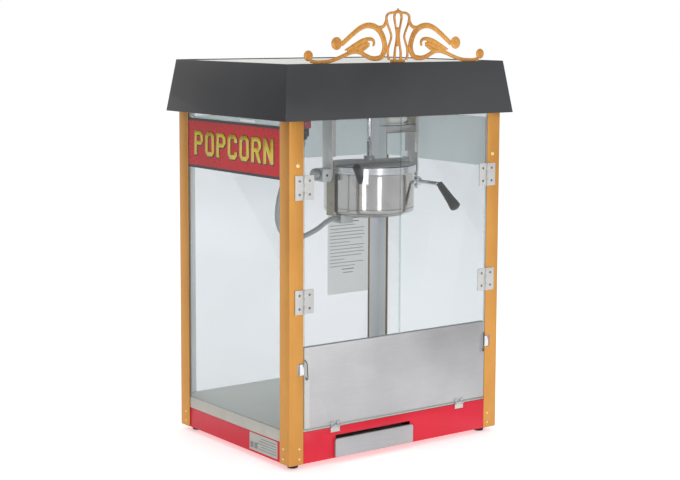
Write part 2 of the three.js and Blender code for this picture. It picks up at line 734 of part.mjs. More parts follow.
function makeCresting() {
  const scaleX = (halfX - CREST_SIDE_INSET) / CREST_DRAWN_HALF_WIDTH;
  const scaleZ = CREST_HEIGHT / CREST_DRAWN_HEIGHT;
  const placed = (sign) => ([x, z]) => [sign * x * scaleX, crestBottom + z * scaleZ];
  const outlineOf = (points) => new THREE.Shape(points.map(([x, z]) => new THREE.Vector2(x, z)));
  const piece = (shape) => plate(shape, crestY, CREST_THICKNESS);
  const pieces = [];
  const slots = [];
  for (const sign of [-1, 1]) {
    const at = placed(sign);
    pieces.push(piece(strip(CREST_SCROLL.map(at), CREST_SCROLL_WIDTHS)));
    pieces.push(piece(strip(CREST_LINK.map(at), CREST_LINK_WIDTHS)));
    pieces.push(piece(outlineOf(CREST_LEAF.map(at))));
    for (const [x, z, radius] of CREST_BALLS) {
      const [ballX, ballZ] = at([x, z]);
      const back = [ballX, crestY + CREST_THICKNESS, ballZ];
      pieces.push(bar([ballX, crestY, ballZ], back, radius, radius, 16));
    }
    slots.push(plate(outlineOf(CREST_SIDE_SLOT.map(at)), crestY - 1, CREST_THICKNESS + 2));
  }
  const rightHalf = [[0, 0], ...CREST_SHELL, [0, CREST_DRAWN_HEIGHT]].map(placed(1));
  const leftHalf = [...CREST_SHELL].reverse().map(placed(-1));
  pieces.push(piece(outlineOf([...rightHalf, ...leftHalf])));
  for (const slot of CREST_MIDDLE_SLOTS) {
    slots.push(plate(outlineOf(slot.map(placed(1))), crestY - 1, CREST_THICKNESS + 2));
  }
  add(part, "roof_cresting", cut(joined(...pieces), ...slots), antiqueGold);
}

function makeHangers() {
  const top = ceilingBottom - GAP - pivotZ;
  for (const [side, sign, web] of [["left", -1, leftWeb], ["right", 1, rightWeb]]) {
    const inner = web - HANGER_SHEET;
    const halfDepth = HANGER_DEPTH / 2;
    const channel = block(
      [sign * web, -halfDepth, 8],
      [sign * (inner + HANGER_SHEET - HANGER_FLANGE), halfDepth, top],
    );
    const trough = block(
      [sign * inner, -halfDepth + HANGER_SHEET, 0],
      [sign * (inner - 2 * HANGER_FLANGE), halfDepth - HANGER_SHEET, top + 1],
    );
    const strapRoom = block(
      [sign * inner, -halfDepth - 1, 0],
      [sign * (inner - 2 * HANGER_FLANGE), halfDepth + 1, CROSSBAR_TOP + 12],
    );
    const cheek = block([sign * web, -halfDepth, 0], [sign * inner, halfDepth, 10]);
    const roundEnd = bar([sign * web, 0, 0], [sign * inner, 0, 0], halfDepth, halfDepth, 24);
    const hole = PIN_RADIUS + PIN_CLEARANCE;
    const pinHole = bar([sign * (web + 1), 0, 0], [sign * (inner - 1), 0, 0], hole);
    const hanger = cut(joined(cut(channel, trough, strapRoom), cheek, roundEnd), pinHole);
    add(kettle, `hanger_${side}`, hanger, steel);
  }
  const outer = leftWeb + GAP;
  const bearing = block(
    [-outer, -BLOCK_SIZE[1] / 2, -BLOCK_SIZE[2] / 2 - BLOCK_DROP],
    [-outer - BLOCK_SIZE[0], BLOCK_SIZE[1] / 2, BLOCK_SIZE[2] / 2 - BLOCK_DROP],
  );
  const hole = PIN_RADIUS + PIN_CLEARANCE;
  const bore = bar([-outer - BLOCK_SIZE[0] - 1, 0, 0], [-outer + 1, 0, 0], hole);
  add(kettle, "pivot_block", cut(bearing, bore), grey);
}

function makePot() {
  const inner = potInner;
  const profile = [
    [0, -POT_DEPTH],
    [POT_RADIUS - 5, -POT_DEPTH],
    [POT_RADIUS, -POT_DEPTH + 5],
    [POT_RADIUS, RIM_TOP - RIM_HEIGHT],
    [rimRadius, RIM_TOP - RIM_HEIGHT + 2],
    [rimRadius, RIM_TOP],
    [inner, RIM_TOP],
    [inner, -POT_DEPTH + 6],
    [inner - 4, -POT_DEPTH + POT_WALL],
    [0, -POT_DEPTH + POT_WALL],
  ];
  add(kettle, "kettle_pot", turned(profile, 36), steel);

  const top = -POT_DEPTH - GAP;
  const heater = turned(
    [
      [0, top - HEATER_HEIGHT],
      [heaterRadius - 3, top - HEATER_HEIGHT],
      [heaterRadius, top - HEATER_HEIGHT + 3],
      [heaterRadius, top],
      [0, top],
    ],
    28,
  );
  const terminal = block(
    [-terminalReach, -TERMINAL_SIZE[1] / 2, top - 1 - TERMINAL_SIZE[2]],
    [-terminalReach + TERMINAL_SIZE[0], TERMINAL_SIZE[1] / 2, top - 2],
  );
  add(kettle, "kettle_heater", joined(heater, terminal), steel);
}

function makeStraps() {
  const half = STRAP_WIDTH / 2;
  const top = CROSSBAR_TOP + 2;
  const bottom = -POT_DEPTH - STRAP_BELOW_POT;
  const strap = block([-strapInner, -half, bottom], [-strapOuter, half, top]);
  const pinEnd = leftWeb + GAP + BLOCK_SIZE[0] + 1;
  const pin = bar([-strapInner - 1, 0, 0], [-pinEnd - 1, 0, 0], PIN_RADIUS);
  const knob = bar([-pinEnd, 0, 0], [-pinEnd - KNOB_LENGTH, 0, 0], KNOB_RADIUS);
  add(kettle, "kettle_strap", joined(strap, pin, knob), steel);

  const shortStrap = block([strapInner, -half, -ARM_DROP - 14], [strapOuter, half, top]);
  const [plateStart, plateEnd] = ARM_PLATE.map((offset) => rightWeb + offset);
  const rightPin = bar([strapInner + 1, 0, 0], [plateEnd, 0, 0], PIN_RADIUS);
  const armPlate = block(
    [plateStart, -ARM_PLATE_WIDTH / 2, -ARM_DROP - 14],
    [plateEnd, ARM_PLATE_WIDTH / 2, ARM_PLATE_RISE],
  );
  const hubEnd = [armX + ARM_ROD_RADIUS + 3, 0, -ARM_DROP];
  const hub = bar([strapInner + 1, 0, -ARM_DROP], hubEnd, ARM_HUB_RADIUS);
  const rodEnd = [armX, -ARM_ROD_LENGTH, -ARM_DROP];
  const rod = bar([armX, 0, -ARM_DROP], rodEnd, ARM_ROD_RADIUS, ARM_ROD_RADIUS, 10);
  add(kettle, "dump_arm", joined(shortStrap, rightPin, armPlate, hub, rod), steel);
}

function makeGrips() {
  const fall = THREE.MathUtils.degToRad(ARM_GRIP_FALL);
  const ferrule = ARM_GRIP_RADII[0] * Math.sin(fall);
  const start = [armX, -ARM_ROD_LENGTH - GAP - ferrule, -ARM_DROP];
  const end = [
    armX,
    start[1] - ARM_GRIP_LENGTH * Math.cos(fall),
    start[2] - ARM_GRIP_LENGTH * Math.sin(fall),
  ];
  add(kettle, "dump_grip", bar(start, end, ...ARM_GRIP_RADII, 14), blackPlastic);

  const azimuth = THREE.MathUtils.degToRad(SIDE_GRIP_AZIMUTH);
  const rise = THREE.MathUtils.degToRad(SIDE_GRIP_RISE);
  const reach = (distance, height) => [
    -distance * Math.sin(azimuth),
    -distance * Math.cos(azimuth),
    height,
  ];
  const foot = POT_RADIUS + SIDE_GRIP_RADII[0] + GAP;
  const gripEnd = reach(
    foot + SIDE_GRIP_LENGTH * Math.cos(rise),
    SIDE_GRIP_HEIGHT + SIDE_GRIP_LENGTH * Math.sin(rise),
  );
  const grip = bar(reach(foot, SIDE_GRIP_HEIGHT), gripEnd, ...SIDE_GRIP_RADII, 12);
  add(kettle, "side_grip", grip, blackPlastic);
}

function makeCrossbar() {
  const length = strapInner - GAP;
  const half = CROSSBAR_WIDTH / 2;
  const outer = block([-length, -half, RIM_TOP + GAP], [length, half, CROSSBAR_TOP]);
  const hollow = block(
    [-length - 1, -half + 2, RIM_TOP - 1],
    [length + 1, half - 2, CROSSBAR_TOP - 3],
  );
  const boss = bar([0, 0, CROSSBAR_TOP - 3], [0, 0, BOSS_TOP], BOSS_RADIUS);
  const bore = bar([0, 0, 0], [0, 0, BOSS_TOP + 1], SHAFT_RADIUS + PIN_CLEARANCE);
  add(kettle, "kettle_crossbar", cut(joined(cut(outer, hollow), boss), bore), steel);
}

function makeLids() {
  for (const [name, ySign] of [["front", -1], ["back", 1]]) {
    const top = [0, 0, lidBottom + LID_THICKNESS];
    const disc = bar([0, 0, lidBottom], top, lidRadius, lidRadius, 40);
    const keep = block([-200, ySign * lidHingeY, 0], [200, ySign * 200, 40]);
    add(kettle, `lid_${name}`, disc.intersect(keep), steel);
  }
}

function makeStirrer() {
  const low = -POT_DEPTH + POT_WALL + 2;
  const shaft = bar([0, 0, low], [0, 0, STIRRER_TOP], SHAFT_RADIUS, SHAFT_RADIUS, 16);
  const [bladeWidth, bladeHeight] = STIRRER_BLADE;
  const [paddleThickness, paddleHeight] = PADDLE_SIZE;
  const blade = block(
    [-stirrerRadius, -bladeWidth / 2, low],
    [stirrerRadius, bladeWidth / 2, low + bladeHeight],
  );
  const paddles = [-1, 1].map((sign) =>
    block(
      [sign * (stirrerRadius - paddleThickness), -bladeWidth / 2, low],
      [sign * stirrerRadius, bladeWidth / 2, low + paddleHeight],
    ),
  );
  add(kettle, "stirrer", joined(shaft, blade, ...paddles), chrome);

  const motorBottom = motorZ - pivotZ;
  const shaftTop = motorBottom + 12;
  const drive = bar([0, 0, STIRRER_TOP + COUPLING_GAP], [0, 0, shaftTop], SHAFT_RADIUS);
  add(kettle, "drive_shaft", drive, chrome);
}

function makeMotor() {
  const at = (x, z) => [KETTLE_X + x, KETTLE_Y, motorZ + z];
  const gearbox = block(
    [KETTLE_X - GEARBOX_SIZE[0] / 2, KETTLE_Y - GEARBOX_SIZE[1] / 2, motorZ],
    [KETTLE_X + GEARBOX_SIZE[0] / 2, KETTLE_Y + GEARBOX_SIZE[1] / 2, motorZ + GEARBOX_SIZE[2]],
  );
  const motor = bar(
    at(MOTOR_OFFSET, GEARBOX_SIZE[2] - 2),
    at(MOTOR_OFFSET, MOTOR_TOP),
    MOTOR_RADIUS,
    MOTOR_RADIUS,
    20,
  );
  const bore = bar(at(0, -1), at(0, 14), SHAFT_RADIUS + 0.5);
  add(part, "gear_motor", cut(joined(gearbox, motor), bore), grey);
}

function makeLamp() {
  const right = rightWeb - HANGER_FLANGE - GAP;
  const left = right - LAMP_LENGTH - LAMP_SHELF_REACH;
  const [front, back] = LAMP_SHELF_Y;
  const sheet = LAMP_SHELF_THICKNESS;
  const low = LAMP_SHELF_HEIGHT;
  const lampZ = low + sheet + LAMP_RADIUS + 3;
  const upHigh = ceilingBottom - pivotZ - LAMP_CEILING_GAP;
  const lipZ = low - LAMP_SKIRT;
  const shelf = block([left, front, low], [right, back, low + sheet]);
  const skirt = block([left, front, lipZ], [right, front + sheet, low + sheet]);
  const lip = block([left, front - LAMP_LIP, lipZ], [right, front + sheet, lipZ + sheet]);
  const upright = block([right - sheet, front, low], [right, back, upHigh]);
  add(kettle, "lamp_bracket", joined(shelf, skirt, lip, upright), steel);

  const holderRight = right - sheet - GAP;
  const holderLeft = holderRight - LAMP_HOLDER_LENGTH;
  const holder = block(
    [holderLeft, front + 1, lampZ - LAMP_RADIUS],
    [holderRight, back - 1, lampZ + LAMP_RADIUS],
  );
  add(kettle, "lamp_holder", holder, khaki);

  const at = (distance) => [holderLeft - GAP - distance, (front + back) / 2, lampZ];
  const neck = bar(at(0), at(LAMP_NECK), LAMP_RADIUS - 3, LAMP_RADIUS);
  const body = bar(at(LAMP_NECK), at(LAMP_LENGTH - LAMP_NECK), LAMP_RADIUS);
  const dome = bar(at(LAMP_LENGTH - LAMP_NECK), at(LAMP_LENGTH), LAMP_RADIUS, LAMP_RADIUS - 5);
  add(kettle, "heat_lamp", joined(neck, body, dome), white);
}

function makeLead() {
  const curve = new THREE.CatmullRomCurve3(leadRoute.map((p) => new THREE.Vector3(...p)));
  const ring = new THREE.Shape();
  ring.absarc(0, 0, LEAD_RADIUS, 0, 2 * Math.PI);
  const tube = new THREE.ExtrudeGeometry(ring, { steps: 28, curveSegments: 4, extrudePath: curve });
  add(part, "kettle_lead", solid(tube), grey);

  const [x, y, z] = leadRoute[leadRoute.length - 1];
  const bootZ = z + 2 * GAP;
  const plugTop = bootZ + PLUG_SIZE[2];
  const plug = block(
    [x - PLUG_SIZE[0] / 2, y - PLUG_SIZE[1] / 2, bootZ + PLUG_BOOT],
    [x + PLUG_SIZE[0] / 2, y + PLUG_SIZE[1] / 2, plugTop],
  );
  const bootTop = [x, y, bootZ + PLUG_BOOT + 1];
  const boot = bar([x, y, bootZ], bootTop, LEAD_RADIUS + 1.5, LEAD_RADIUS + 4);
  add(part, "lead_plug", joined(plug, boot), blackPlastic);

  const reach = SOCKET_SIDE / 2;
  const socket = block(
    [x - reach, y - reach, plugTop + GAP],
    [x + reach, y + reach, ceilingBottom - GAP],
  );
  add(part, "lead_socket", socket, blackPlastic);
}

makeFeet();
makeBase();
makeInlet();
makeDeck();
makeDrawer();
makePosts();
makeCatches();
makeGlass();
makeDoors();
makeDropPanel();
makeCanopy();
makeSwitches();
makeCresting();
makeHangers();
makePot();
makeStraps();
makeGrips();
makeCrossbar();
makeLids();
makeStirrer();
makeMotor();
makeLamp();
makeLead();

export default part;
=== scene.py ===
import json
import math

import bmesh
import bpy
from mathutils import Matrix, Vector


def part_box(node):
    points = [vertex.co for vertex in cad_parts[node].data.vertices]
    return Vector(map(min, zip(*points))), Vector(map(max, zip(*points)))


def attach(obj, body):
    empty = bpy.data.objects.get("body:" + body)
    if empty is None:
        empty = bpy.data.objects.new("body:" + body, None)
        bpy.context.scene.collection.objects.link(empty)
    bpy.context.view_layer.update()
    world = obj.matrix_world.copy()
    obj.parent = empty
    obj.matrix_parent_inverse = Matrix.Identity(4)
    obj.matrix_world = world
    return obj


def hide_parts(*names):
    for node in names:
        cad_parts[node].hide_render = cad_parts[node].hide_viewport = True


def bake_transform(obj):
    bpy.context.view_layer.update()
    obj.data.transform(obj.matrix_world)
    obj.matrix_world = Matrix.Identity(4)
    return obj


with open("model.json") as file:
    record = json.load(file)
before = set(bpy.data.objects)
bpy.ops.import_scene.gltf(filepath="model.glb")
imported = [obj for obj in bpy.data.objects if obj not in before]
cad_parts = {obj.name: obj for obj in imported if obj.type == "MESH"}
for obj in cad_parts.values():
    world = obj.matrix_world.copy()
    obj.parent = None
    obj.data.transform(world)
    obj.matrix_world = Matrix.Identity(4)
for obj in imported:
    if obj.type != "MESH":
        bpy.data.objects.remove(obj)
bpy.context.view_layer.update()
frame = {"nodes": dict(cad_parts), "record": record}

MM = 0.001
NODES = frame["nodes"]
BODY_OF = {n: b for b, ns in frame["record"]["behaviour"]["bodies"].items() for n in ns}
scene = bpy.context.scene


# ---------------------------------------------------------------- camera
def make_camera():
    yaw, pitch, roll = 0.63808, 0.11544, 0.00415
    forward = Vector((
        math.sin(yaw) * math.cos(pitch),
        math.cos(yaw) * math.cos(pitch),
        -math.sin(pitch),
    ))
    right = forward.cross(Vector((0, 0, 1))).normalized()
    up = right.cross(forward)
    across = math.cos(roll) * right + math.sin(roll) * up
    above = -math.sin(roll) * right + math.cos(roll) * up
    data = bpy.data.cameras.new("camera")
    data.lens = 82.298
    data.sensor_width = 36
    data.shift_y = -0.06
    camera = bpy.data.objects.new("camera", data)
    turn = Matrix((across, above, -forward)).transposed().to_4x4()
    camera.matrix_world = Matrix.Translation((-1.838444, -2.482651, 0.829468)) @ turn
    scene.collection.objects.link(camera)
    scene.camera = camera


# ---------------------------------------------------------------- mesh tools
def new_object(name, mesh, material, body, smooth=True):
    obj = bpy.data.objects.new(name, mesh)
    scene.collection.objects.link(obj)
    mesh.materials.clear()
    mesh.materials.append(material)
    if smooth:
        mesh.shade_smooth()
    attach(obj, body)
    return obj


def mesh_from(verts, faces):
    mesh = bpy.data.meshes.new("mesh")
    mesh.from_pydata([tuple(v) for v in verts], [], faces)
    mesh.validate()
    bm = bmesh.new()
    bm.from_mesh(mesh)
    bmesh.ops.remove_doubles(bm, verts=bm.verts, dist=1e-7)
    bmesh.ops.recalc_face_normals(bm, faces=bm.faces)
    bm.to_mesh(mesh)
    bm.free()
    return mesh


def apply_modifiers(obj):
    graph = bpy.context.evaluated_depsgraph_get()
    mesh = bpy.data.meshes.new_from_object(obj.evaluated_get(graph))
    obj.modifiers.clear()
    obj.data = mesh


def bevel(obj, width, segments=2, angle=30):
    """Rounds the hard edges and keeps the flats flat."""
    mod = obj.modifiers.new("bevel", "BEVEL")
    mod.width = width
    mod.segments = segments
    mod.limit_method = "ANGLE"
    mod.angle_limit = math.radians(angle)
    mod.use_clamp_overlap = True
    mod.harden_normals = True
    apply_modifiers(obj)


def stands_for(obj, node):
    """obj is shown in place of a CAD node, which is hidden."""
    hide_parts(node)
    return obj


def refine(node, material, width=0.0006, segments=2, angle=33):
    """A rounded copy of a CAD node, on the same body."""
    bm = bmesh.new()
    bm.from_mesh(NODES[node].data)
    bmesh.ops.remove_doubles(bm, verts=bm.verts, dist=1e-6)
    bmesh.ops.dissolve_limit(bm, angle_limit=math.radians(1), verts=bm.verts, edges=bm.edges)
    mesh = bpy.data.meshes.new("mesh")
    bm.to_mesh(mesh)
    bm.free()
    obj = new_object(node + "_body", mesh, material, BODY_OF[node])
    bevel(obj, width, segments, angle)
    return stands_for(obj, node)


def lathe(name, profile, centre, axis, material, body, sides=48, width=0):
    """Turns (radius, height) pairs in metres about an axis through centre."""
    axis = Vector(axis).normalized()
    turn = axis.to_track_quat("Z", "Y")
    verts, faces, rings = [], [], []
    for radius, height in profile:
        if radius < 1e-7:
            rings.append([len(verts)])
            verts.append(Vector((0, 0, height)))
        else:
            rings.append(list(range(len(verts), len(verts) + sides)))
            for i in range(sides):
                a = 2 * math.pi * i / sides
                verts.append(Vector((radius * math.cos(a), radius * math.sin(a), height)))
    for low, high in zip(rings, rings[1:]):
        for i in range(sides):
            j = (i + 1) % sides
            if len(low) == 1 and len(high) == 1:
                break
            if len(low) == 1:
                faces.append((low[0], high[j], high[i]))
            elif len(high) == 1:
                faces.append((low[i], low[j], high[0]))
            else:
                faces.append((low[i], low[j], high[j], high[i]))
    verts = [turn @ v + Vector(centre) for v in verts]
    obj = new_object(name, mesh_from(verts, faces), material, body)
    if width:
        bevel(obj, width, 2, 35)
    else:
        bevel(obj, 0.0003, 2, 40)
    return obj


def frames_along(points):
    """A turn-free frame at each point of a polyline."""
    tangents = []
    for i in range(len(points)):
        a = points[max(i - 1, 0)]
        b = points[min(i + 1, len(points) - 1)]
        tangents.append((b - a).normalized())
    side = tangents[0].orthogonal().normalized()
    sides = []
    for t in tangents:
        side = (side - t * side.dot(t)).normalized()
        sides.append(side)
    return list(zip(points, sides, [t.cross(s) for t, s in zip(tangents, sides)]))


def spline(points, count):
    """Evenly spaced points on a centripetal curve through the given ones."""
    pts = [Vector(p) for p in points]
    pts = [2 * pts[0] - pts[1]] + pts + [2 * pts[-1] - pts[-2]]
    dense = []
    for i in range(1, len(pts) - 2):
        p0, p1, p2, p3 = pts[i - 1 : i + 3]
        for k in range(24):
            t = k / 24
            dense.append(0.5 * (
                2 * p1 + (p2 - p0) * t + (2 * p0 - 5 * p1 + 4 * p2 - p3) * t * t
                + (3 * p1 - p0 - 3 * p2 + p3) * t ** 3
            ))
    dense.append(pts[-2])
    lengths = [0.0]
    for a, b in zip(dense, dense[1:]):
        lengths.append(lengths[-1] + (b - a).length)
    even, k = [], 0
    for i in range(count):
        want = lengths[-1] * i / (count - 1)
        while k < len(lengths) - 2 and lengths[k + 1] < want:
            k += 1
        span = lengths[k + 1] - lengths[k]
        even.append(dense[k].lerp(dense[k + 1], (want - lengths[k]) / span if span else 0))
    return even


def sweep_mesh(points, radius, sides=16, capped=True):
    """A tube; radius is a number, or a function of the share of the way along."""
    verts, faces = [], []
    for i, (p, s, n) in enumerate(frames_along(points)):
        r = radius(i / (len(points) - 1)) if callable(radius) else radius
        for k in range(sides):
            a = 2 * math.pi * k / sides
            verts.append(p + r * (math.cos(a) * s + math.sin(a) * n))
    for i in range(len(points) - 1):
        for k in range(sides):
            m = (k + 1) % sides
            faces.append((i * sides + k, i * sides + m, (i + 1) * sides + m, (i + 1) * sides + k))
    if capped:
        faces.append(tuple(range(sides))[::-1])
        faces.append(tuple(range((len(points) - 1) * sides, len(points) * sides)))
    return mesh_from(verts, faces)


def tube(name, points, radius, material, body, sides=16):
    return new_object(name, sweep_mesh([Vector(p) for p in points], radius, sides), material, body)


def slab(name, lo, hi, material, body, width=0.0005, segments=2):
    """A rounded block between two corners."""
    lo, hi = Vector(lo), Vector(hi)
    verts = [(x, y, z) for z in (lo.z, hi.z) for y in (lo.y, hi.y) for x in (lo.x, hi.x)]
    faces = [(0, 2, 3, 1), (4, 5, 7, 6), (0, 1, 5, 4), (2, 6, 7, 3), (0, 4, 6, 2), (1, 3, 7, 5)]
    obj = new_object(name, mesh_from(verts, faces), material, body)
    bevel(obj, width, segments)
    return obj


def flat(name, outlines, place, depth, material, body, width=0.0, segments=2):
    """A plate from closed outlines, holes included; place turns its (x, y, z) into the frame."""
    curve = bpy.data.curves.new("outline", "CURVE")
    curve.dimensions = "2D"
    curve.fill_mode = "BOTH"
    curve.extrude = max(depth / 2 - width, 1e-6)
    curve.bevel_depth = width
    curve.bevel_resolution = segments
    curve.offset = -width
    for outline in outlines:
        line = curve.splines.new("POLY")
        line.points.add(len(outline) - 1)
        for point, (x, y) in zip(line.points, outline):
            point.co = (x, y, 0, 1)
        line.use_cyclic_u = True
    holder = bpy.data.objects.new("outline", curve)
    scene.collection.objects.link(holder)
    graph = bpy.context.evaluated_depsgraph_get()
    mesh = bpy.data.meshes.new_from_object(holder.evaluated_get(graph))
    bpy.data.objects.remove(holder)
    for v in mesh.vertices:
        v.co = place(v.co.x, v.co.y, v.co.z)
    bm = bmesh.new()
    bm.from_mesh(mesh)
    bmesh.ops.remove_doubles(bm, verts=bm.verts, dist=1e-6)
    bmesh.ops.recalc_face_normals(bm, faces=bm.faces)
    bm.to_mesh(mesh)
    bm.free()
    obj = new_object(name, mesh, material, body, smooth=False)
    return obj


def merge(name, parts, material, body):
    """Joins several finished pieces into one object."""
    bm = bmesh.new()
    for part in parts:
        bm.from_mesh(part.data)
        bpy.data.objects.remove(part)
    mesh = bpy.data.meshes.new("mesh")
    bm.to_mesh(mesh)
    bm.free()
    return new_object(name, mesh, material, body)


# ---------------------------------------------------------------- materials
class Nodes:
    """A material's node tree, with short calls for what the finishes share."""

    def __init__(self, name):
        self.material = bpy.data.materials.new(name)
        self.material.use_nodes = True
        self.tree = self.material.node_tree
        self.bsdf = self.tree.nodes["Principled BSDF"]
        self.coords = self.add("ShaderNodeTexCoord").outputs["Object"]

    def add(self, kind, **values):
        node = self.tree.nodes.new(kind)
        for key, value in values.items():
            setattr(node, key, value)
        return node

    def link(self, out, socket):
        self.tree.links.new(out, socket)

    def noise(self, scale, stretch=(1, 1, 1), detail=4, rough=0.55):
        mapping = self.add("ShaderNodeMapping")
        mapping.inputs["Scale"].default_value = stretch
        self.link(self.coords, mapping.inputs["Vector"])
        noise = self.add("ShaderNodeTexNoise")
        noise.inputs["Scale"].default_value = scale
        noise.inputs["Detail"].default_value = detail
        noise.inputs["Roughness"].default_value = rough
        self.link(mapping.outputs["Vector"], noise.inputs["Vector"])
        return noise.outputs["Fac"]

    def ranged(self, value, low, high, from_low=0.3, from_high=0.7):
        node = self.add("ShaderNodeMapRange")
        node.inputs["From Min"].default_value = from_low
        node.inputs["From Max"].default_value = from_high
        node.inputs["To Min"].default_value = low
        node.inputs["To Max"].default_value = high
        self.link(value, node.inputs["Value"])
        return node.outputs["Result"]

    def mixed(self, fac, a, b):
        node = self.add("ShaderNodeMix", data_type="RGBA")
        sockets = {s.identifier: s for s in node.inputs}
        for identifier, value in (("Factor_Float", fac), ("A_Color", a), ("B_Color", b)):
            socket = sockets[identifier]
            if isinstance(value, bpy.types.NodeSocket):
                self.link(value, socket)
            elif identifier == "Factor_Float":
                socket.default_value = value
            else:
                socket.default_value = (*value, 1)
        return [s for s in node.outputs if s.identifier == "Result_Color"][0]

    def bump(self, value, strength, distance, normal=None):
        node = self.add("ShaderNodeBump")
        node.inputs["Strength"].default_value = strength
        node.inputs["Distance"].default_value = distance
        self.link(value, node.inputs["Height"])
        if normal is not None:
            self.link(normal, node.inputs["Normal"])
        return node.outputs["Normal"]

    def edges(self, radius, low=0.02, high=0.25):
        """1 on convex and concave edges, 0 on flats."""
        bevel_node = self.add("ShaderNodeBevel")
        bevel_node.inputs["Radius"].default_value = radius
        bevel_node.samples = 4
        geometry = self.add("ShaderNodeNewGeometry")
        dot = self.add("ShaderNodeVectorMath", operation="DOT_PRODUCT")
        self.link(bevel_node.outputs["Normal"], dot.inputs[0])
        self.link(geometry.outputs["Normal"], dot.inputs[1])
        return self.ranged(dot.outputs["Value"], 1, 0, 1 - high, 1 - low)


def finish_material(name, dark, light, roughness, metallic=0.0, grain=(220, (1, 1, 1)),
                    bump=(0.15, 0.0002), wear=None, coat=0.0, cloud=7, painted_glow=0.0, gloss=0.5, top=None):
    """Two-tone base with a fine grain, broad clouds, uneven gloss and, if asked, rubbed edges, a painted
    glow (emission that paints light into a part that is no lamp) and a painted lighter top on faces that
    point up.
    """
    n = Nodes(name)
    fine = n.noise(grain[0], grain[1], 6)
    broad = n.noise(cloud, (1, 1, 1), 3)
    blend = n.add("ShaderNodeMath", operation="MULTIPLY_ADD")
    n.link(fine, blend.inputs[0])
    blend.inputs[1].default_value = 0.6
    n.link(n.ranged(broad, 0.0, 0.4), blend.inputs[2])
    colour = n.mixed(n.ranged(blend.outputs["Value"], 0, 1, 0.25, 0.75), dark, light)
    if wear:
        mask = n.edges(wear[1])
        spots = n.ranged(n.noise(90, (1, 1, 1), 5), 0, 1, 0.42, 0.62)
        share = n.add("ShaderNodeMath", operation="MULTIPLY")
        n.link(mask, share.inputs[0])
        n.link(spots, share.inputs[1])
        colour = n.mixed(share.outputs["Value"], colour, wear[0])
    # painted light: faces that point up are mixed towards the top colour, a painted lighter top
    if top:
        split = n.add("ShaderNodeSeparateXYZ")
        n.link(n.add("ShaderNodeNewGeometry").outputs["Normal"], split.inputs["Vector"])
        colour = n.mixed(n.ranged(split.outputs["Z"], 0, 1, 0.5, 0.9), colour, top)
    n.link(colour, n.bsdf.inputs["Base Color"])
    n.bsdf.inputs["Metallic"].default_value = metallic
    n.bsdf.inputs["Coat Weight"].default_value = coat
    n.bsdf.inputs["Coat Roughness"].default_value = 0.06
    n.bsdf.inputs["Specular IOR Level"].default_value = gloss
    # painted glow: an emission that paints light into a part that is no lamp
    n.bsdf.inputs["Emission Color"].default_value = (*light, 1)
    n.bsdf.inputs["Emission Strength"].default_value = painted_glow
    n.link(n.ranged(blend.outputs["Value"], *roughness, 0.25, 0.75), n.bsdf.inputs["Roughness"])
    n.link(n.bump(fine, *bump), n.bsdf.inputs["Normal"])
    n.material.diffuse_color = (*light, 1)
    return n.material


def glass_material(name, axis, tint, edge, gloss=0.9):
    """A clear pane facing along axis, with green edges and a faint mirror image."""
    n = Nodes(name)
    out = n.tree.nodes["Material Output"]
    n.tree.nodes.remove(n.bsdf)
    clear = n.add("ShaderNodeBsdfTransparent")
    coords = n.add("ShaderNodeTexCoord")
    split = n.add("ShaderNodeSeparateXYZ")
    n.link(coords.outputs["Normal"], split.inputs["Vector"])
    absolute = n.add("ShaderNodeMath", operation="ABSOLUTE")
    n.link(split.outputs[axis], absolute.inputs[0])
    n.link(n.mixed(n.ranged(absolute.outputs["Value"], 1, 0, 0.3, 0.8), tint, edge), clear.inputs["Color"])
    mirror = n.add("ShaderNodeBsdfGlossy")
    mirror.inputs["Color"].default_value = (gloss, gloss, gloss, 1)
    n.link(n.ranged(n.noise(30, (1, 1, 0.2), 3), 0.01, 0.05), mirror.inputs["Roughness"])
    fresnel = n.add("ShaderNodeFresnel")
    facing = n.add("ShaderNodeNewGeometry")
    n.link(n.ranged(facing.outputs["Backfacing"], 1.45, 1 / 1.45, 0, 1), fresnel.inputs["IOR"])
    mix = n.add("ShaderNodeMixShader")
    n.link(fresnel.outputs["Fac"], mix.inputs["Fac"])
    n.link(clear.outputs["BSDF"], mix.inputs[1])
    n.link(mirror.outputs["BSDF"], mix.inputs[2])
    n.link(mix.outputs["Shader"], out.inputs["Surface"])
    return n.material


def linear(r, g, b):
    """An sRGB colour, 0 to 255, as the linear values that a socket takes."""
    return tuple((c / 255 / 12.92) if c <= 10 else ((c / 255 + 0.055) / 1.055) ** 2.4 for c in (r, g, b))


EVEN = (1, 1, 1)
GLASS_EDGE = (0.70, 0.78, 0.77)
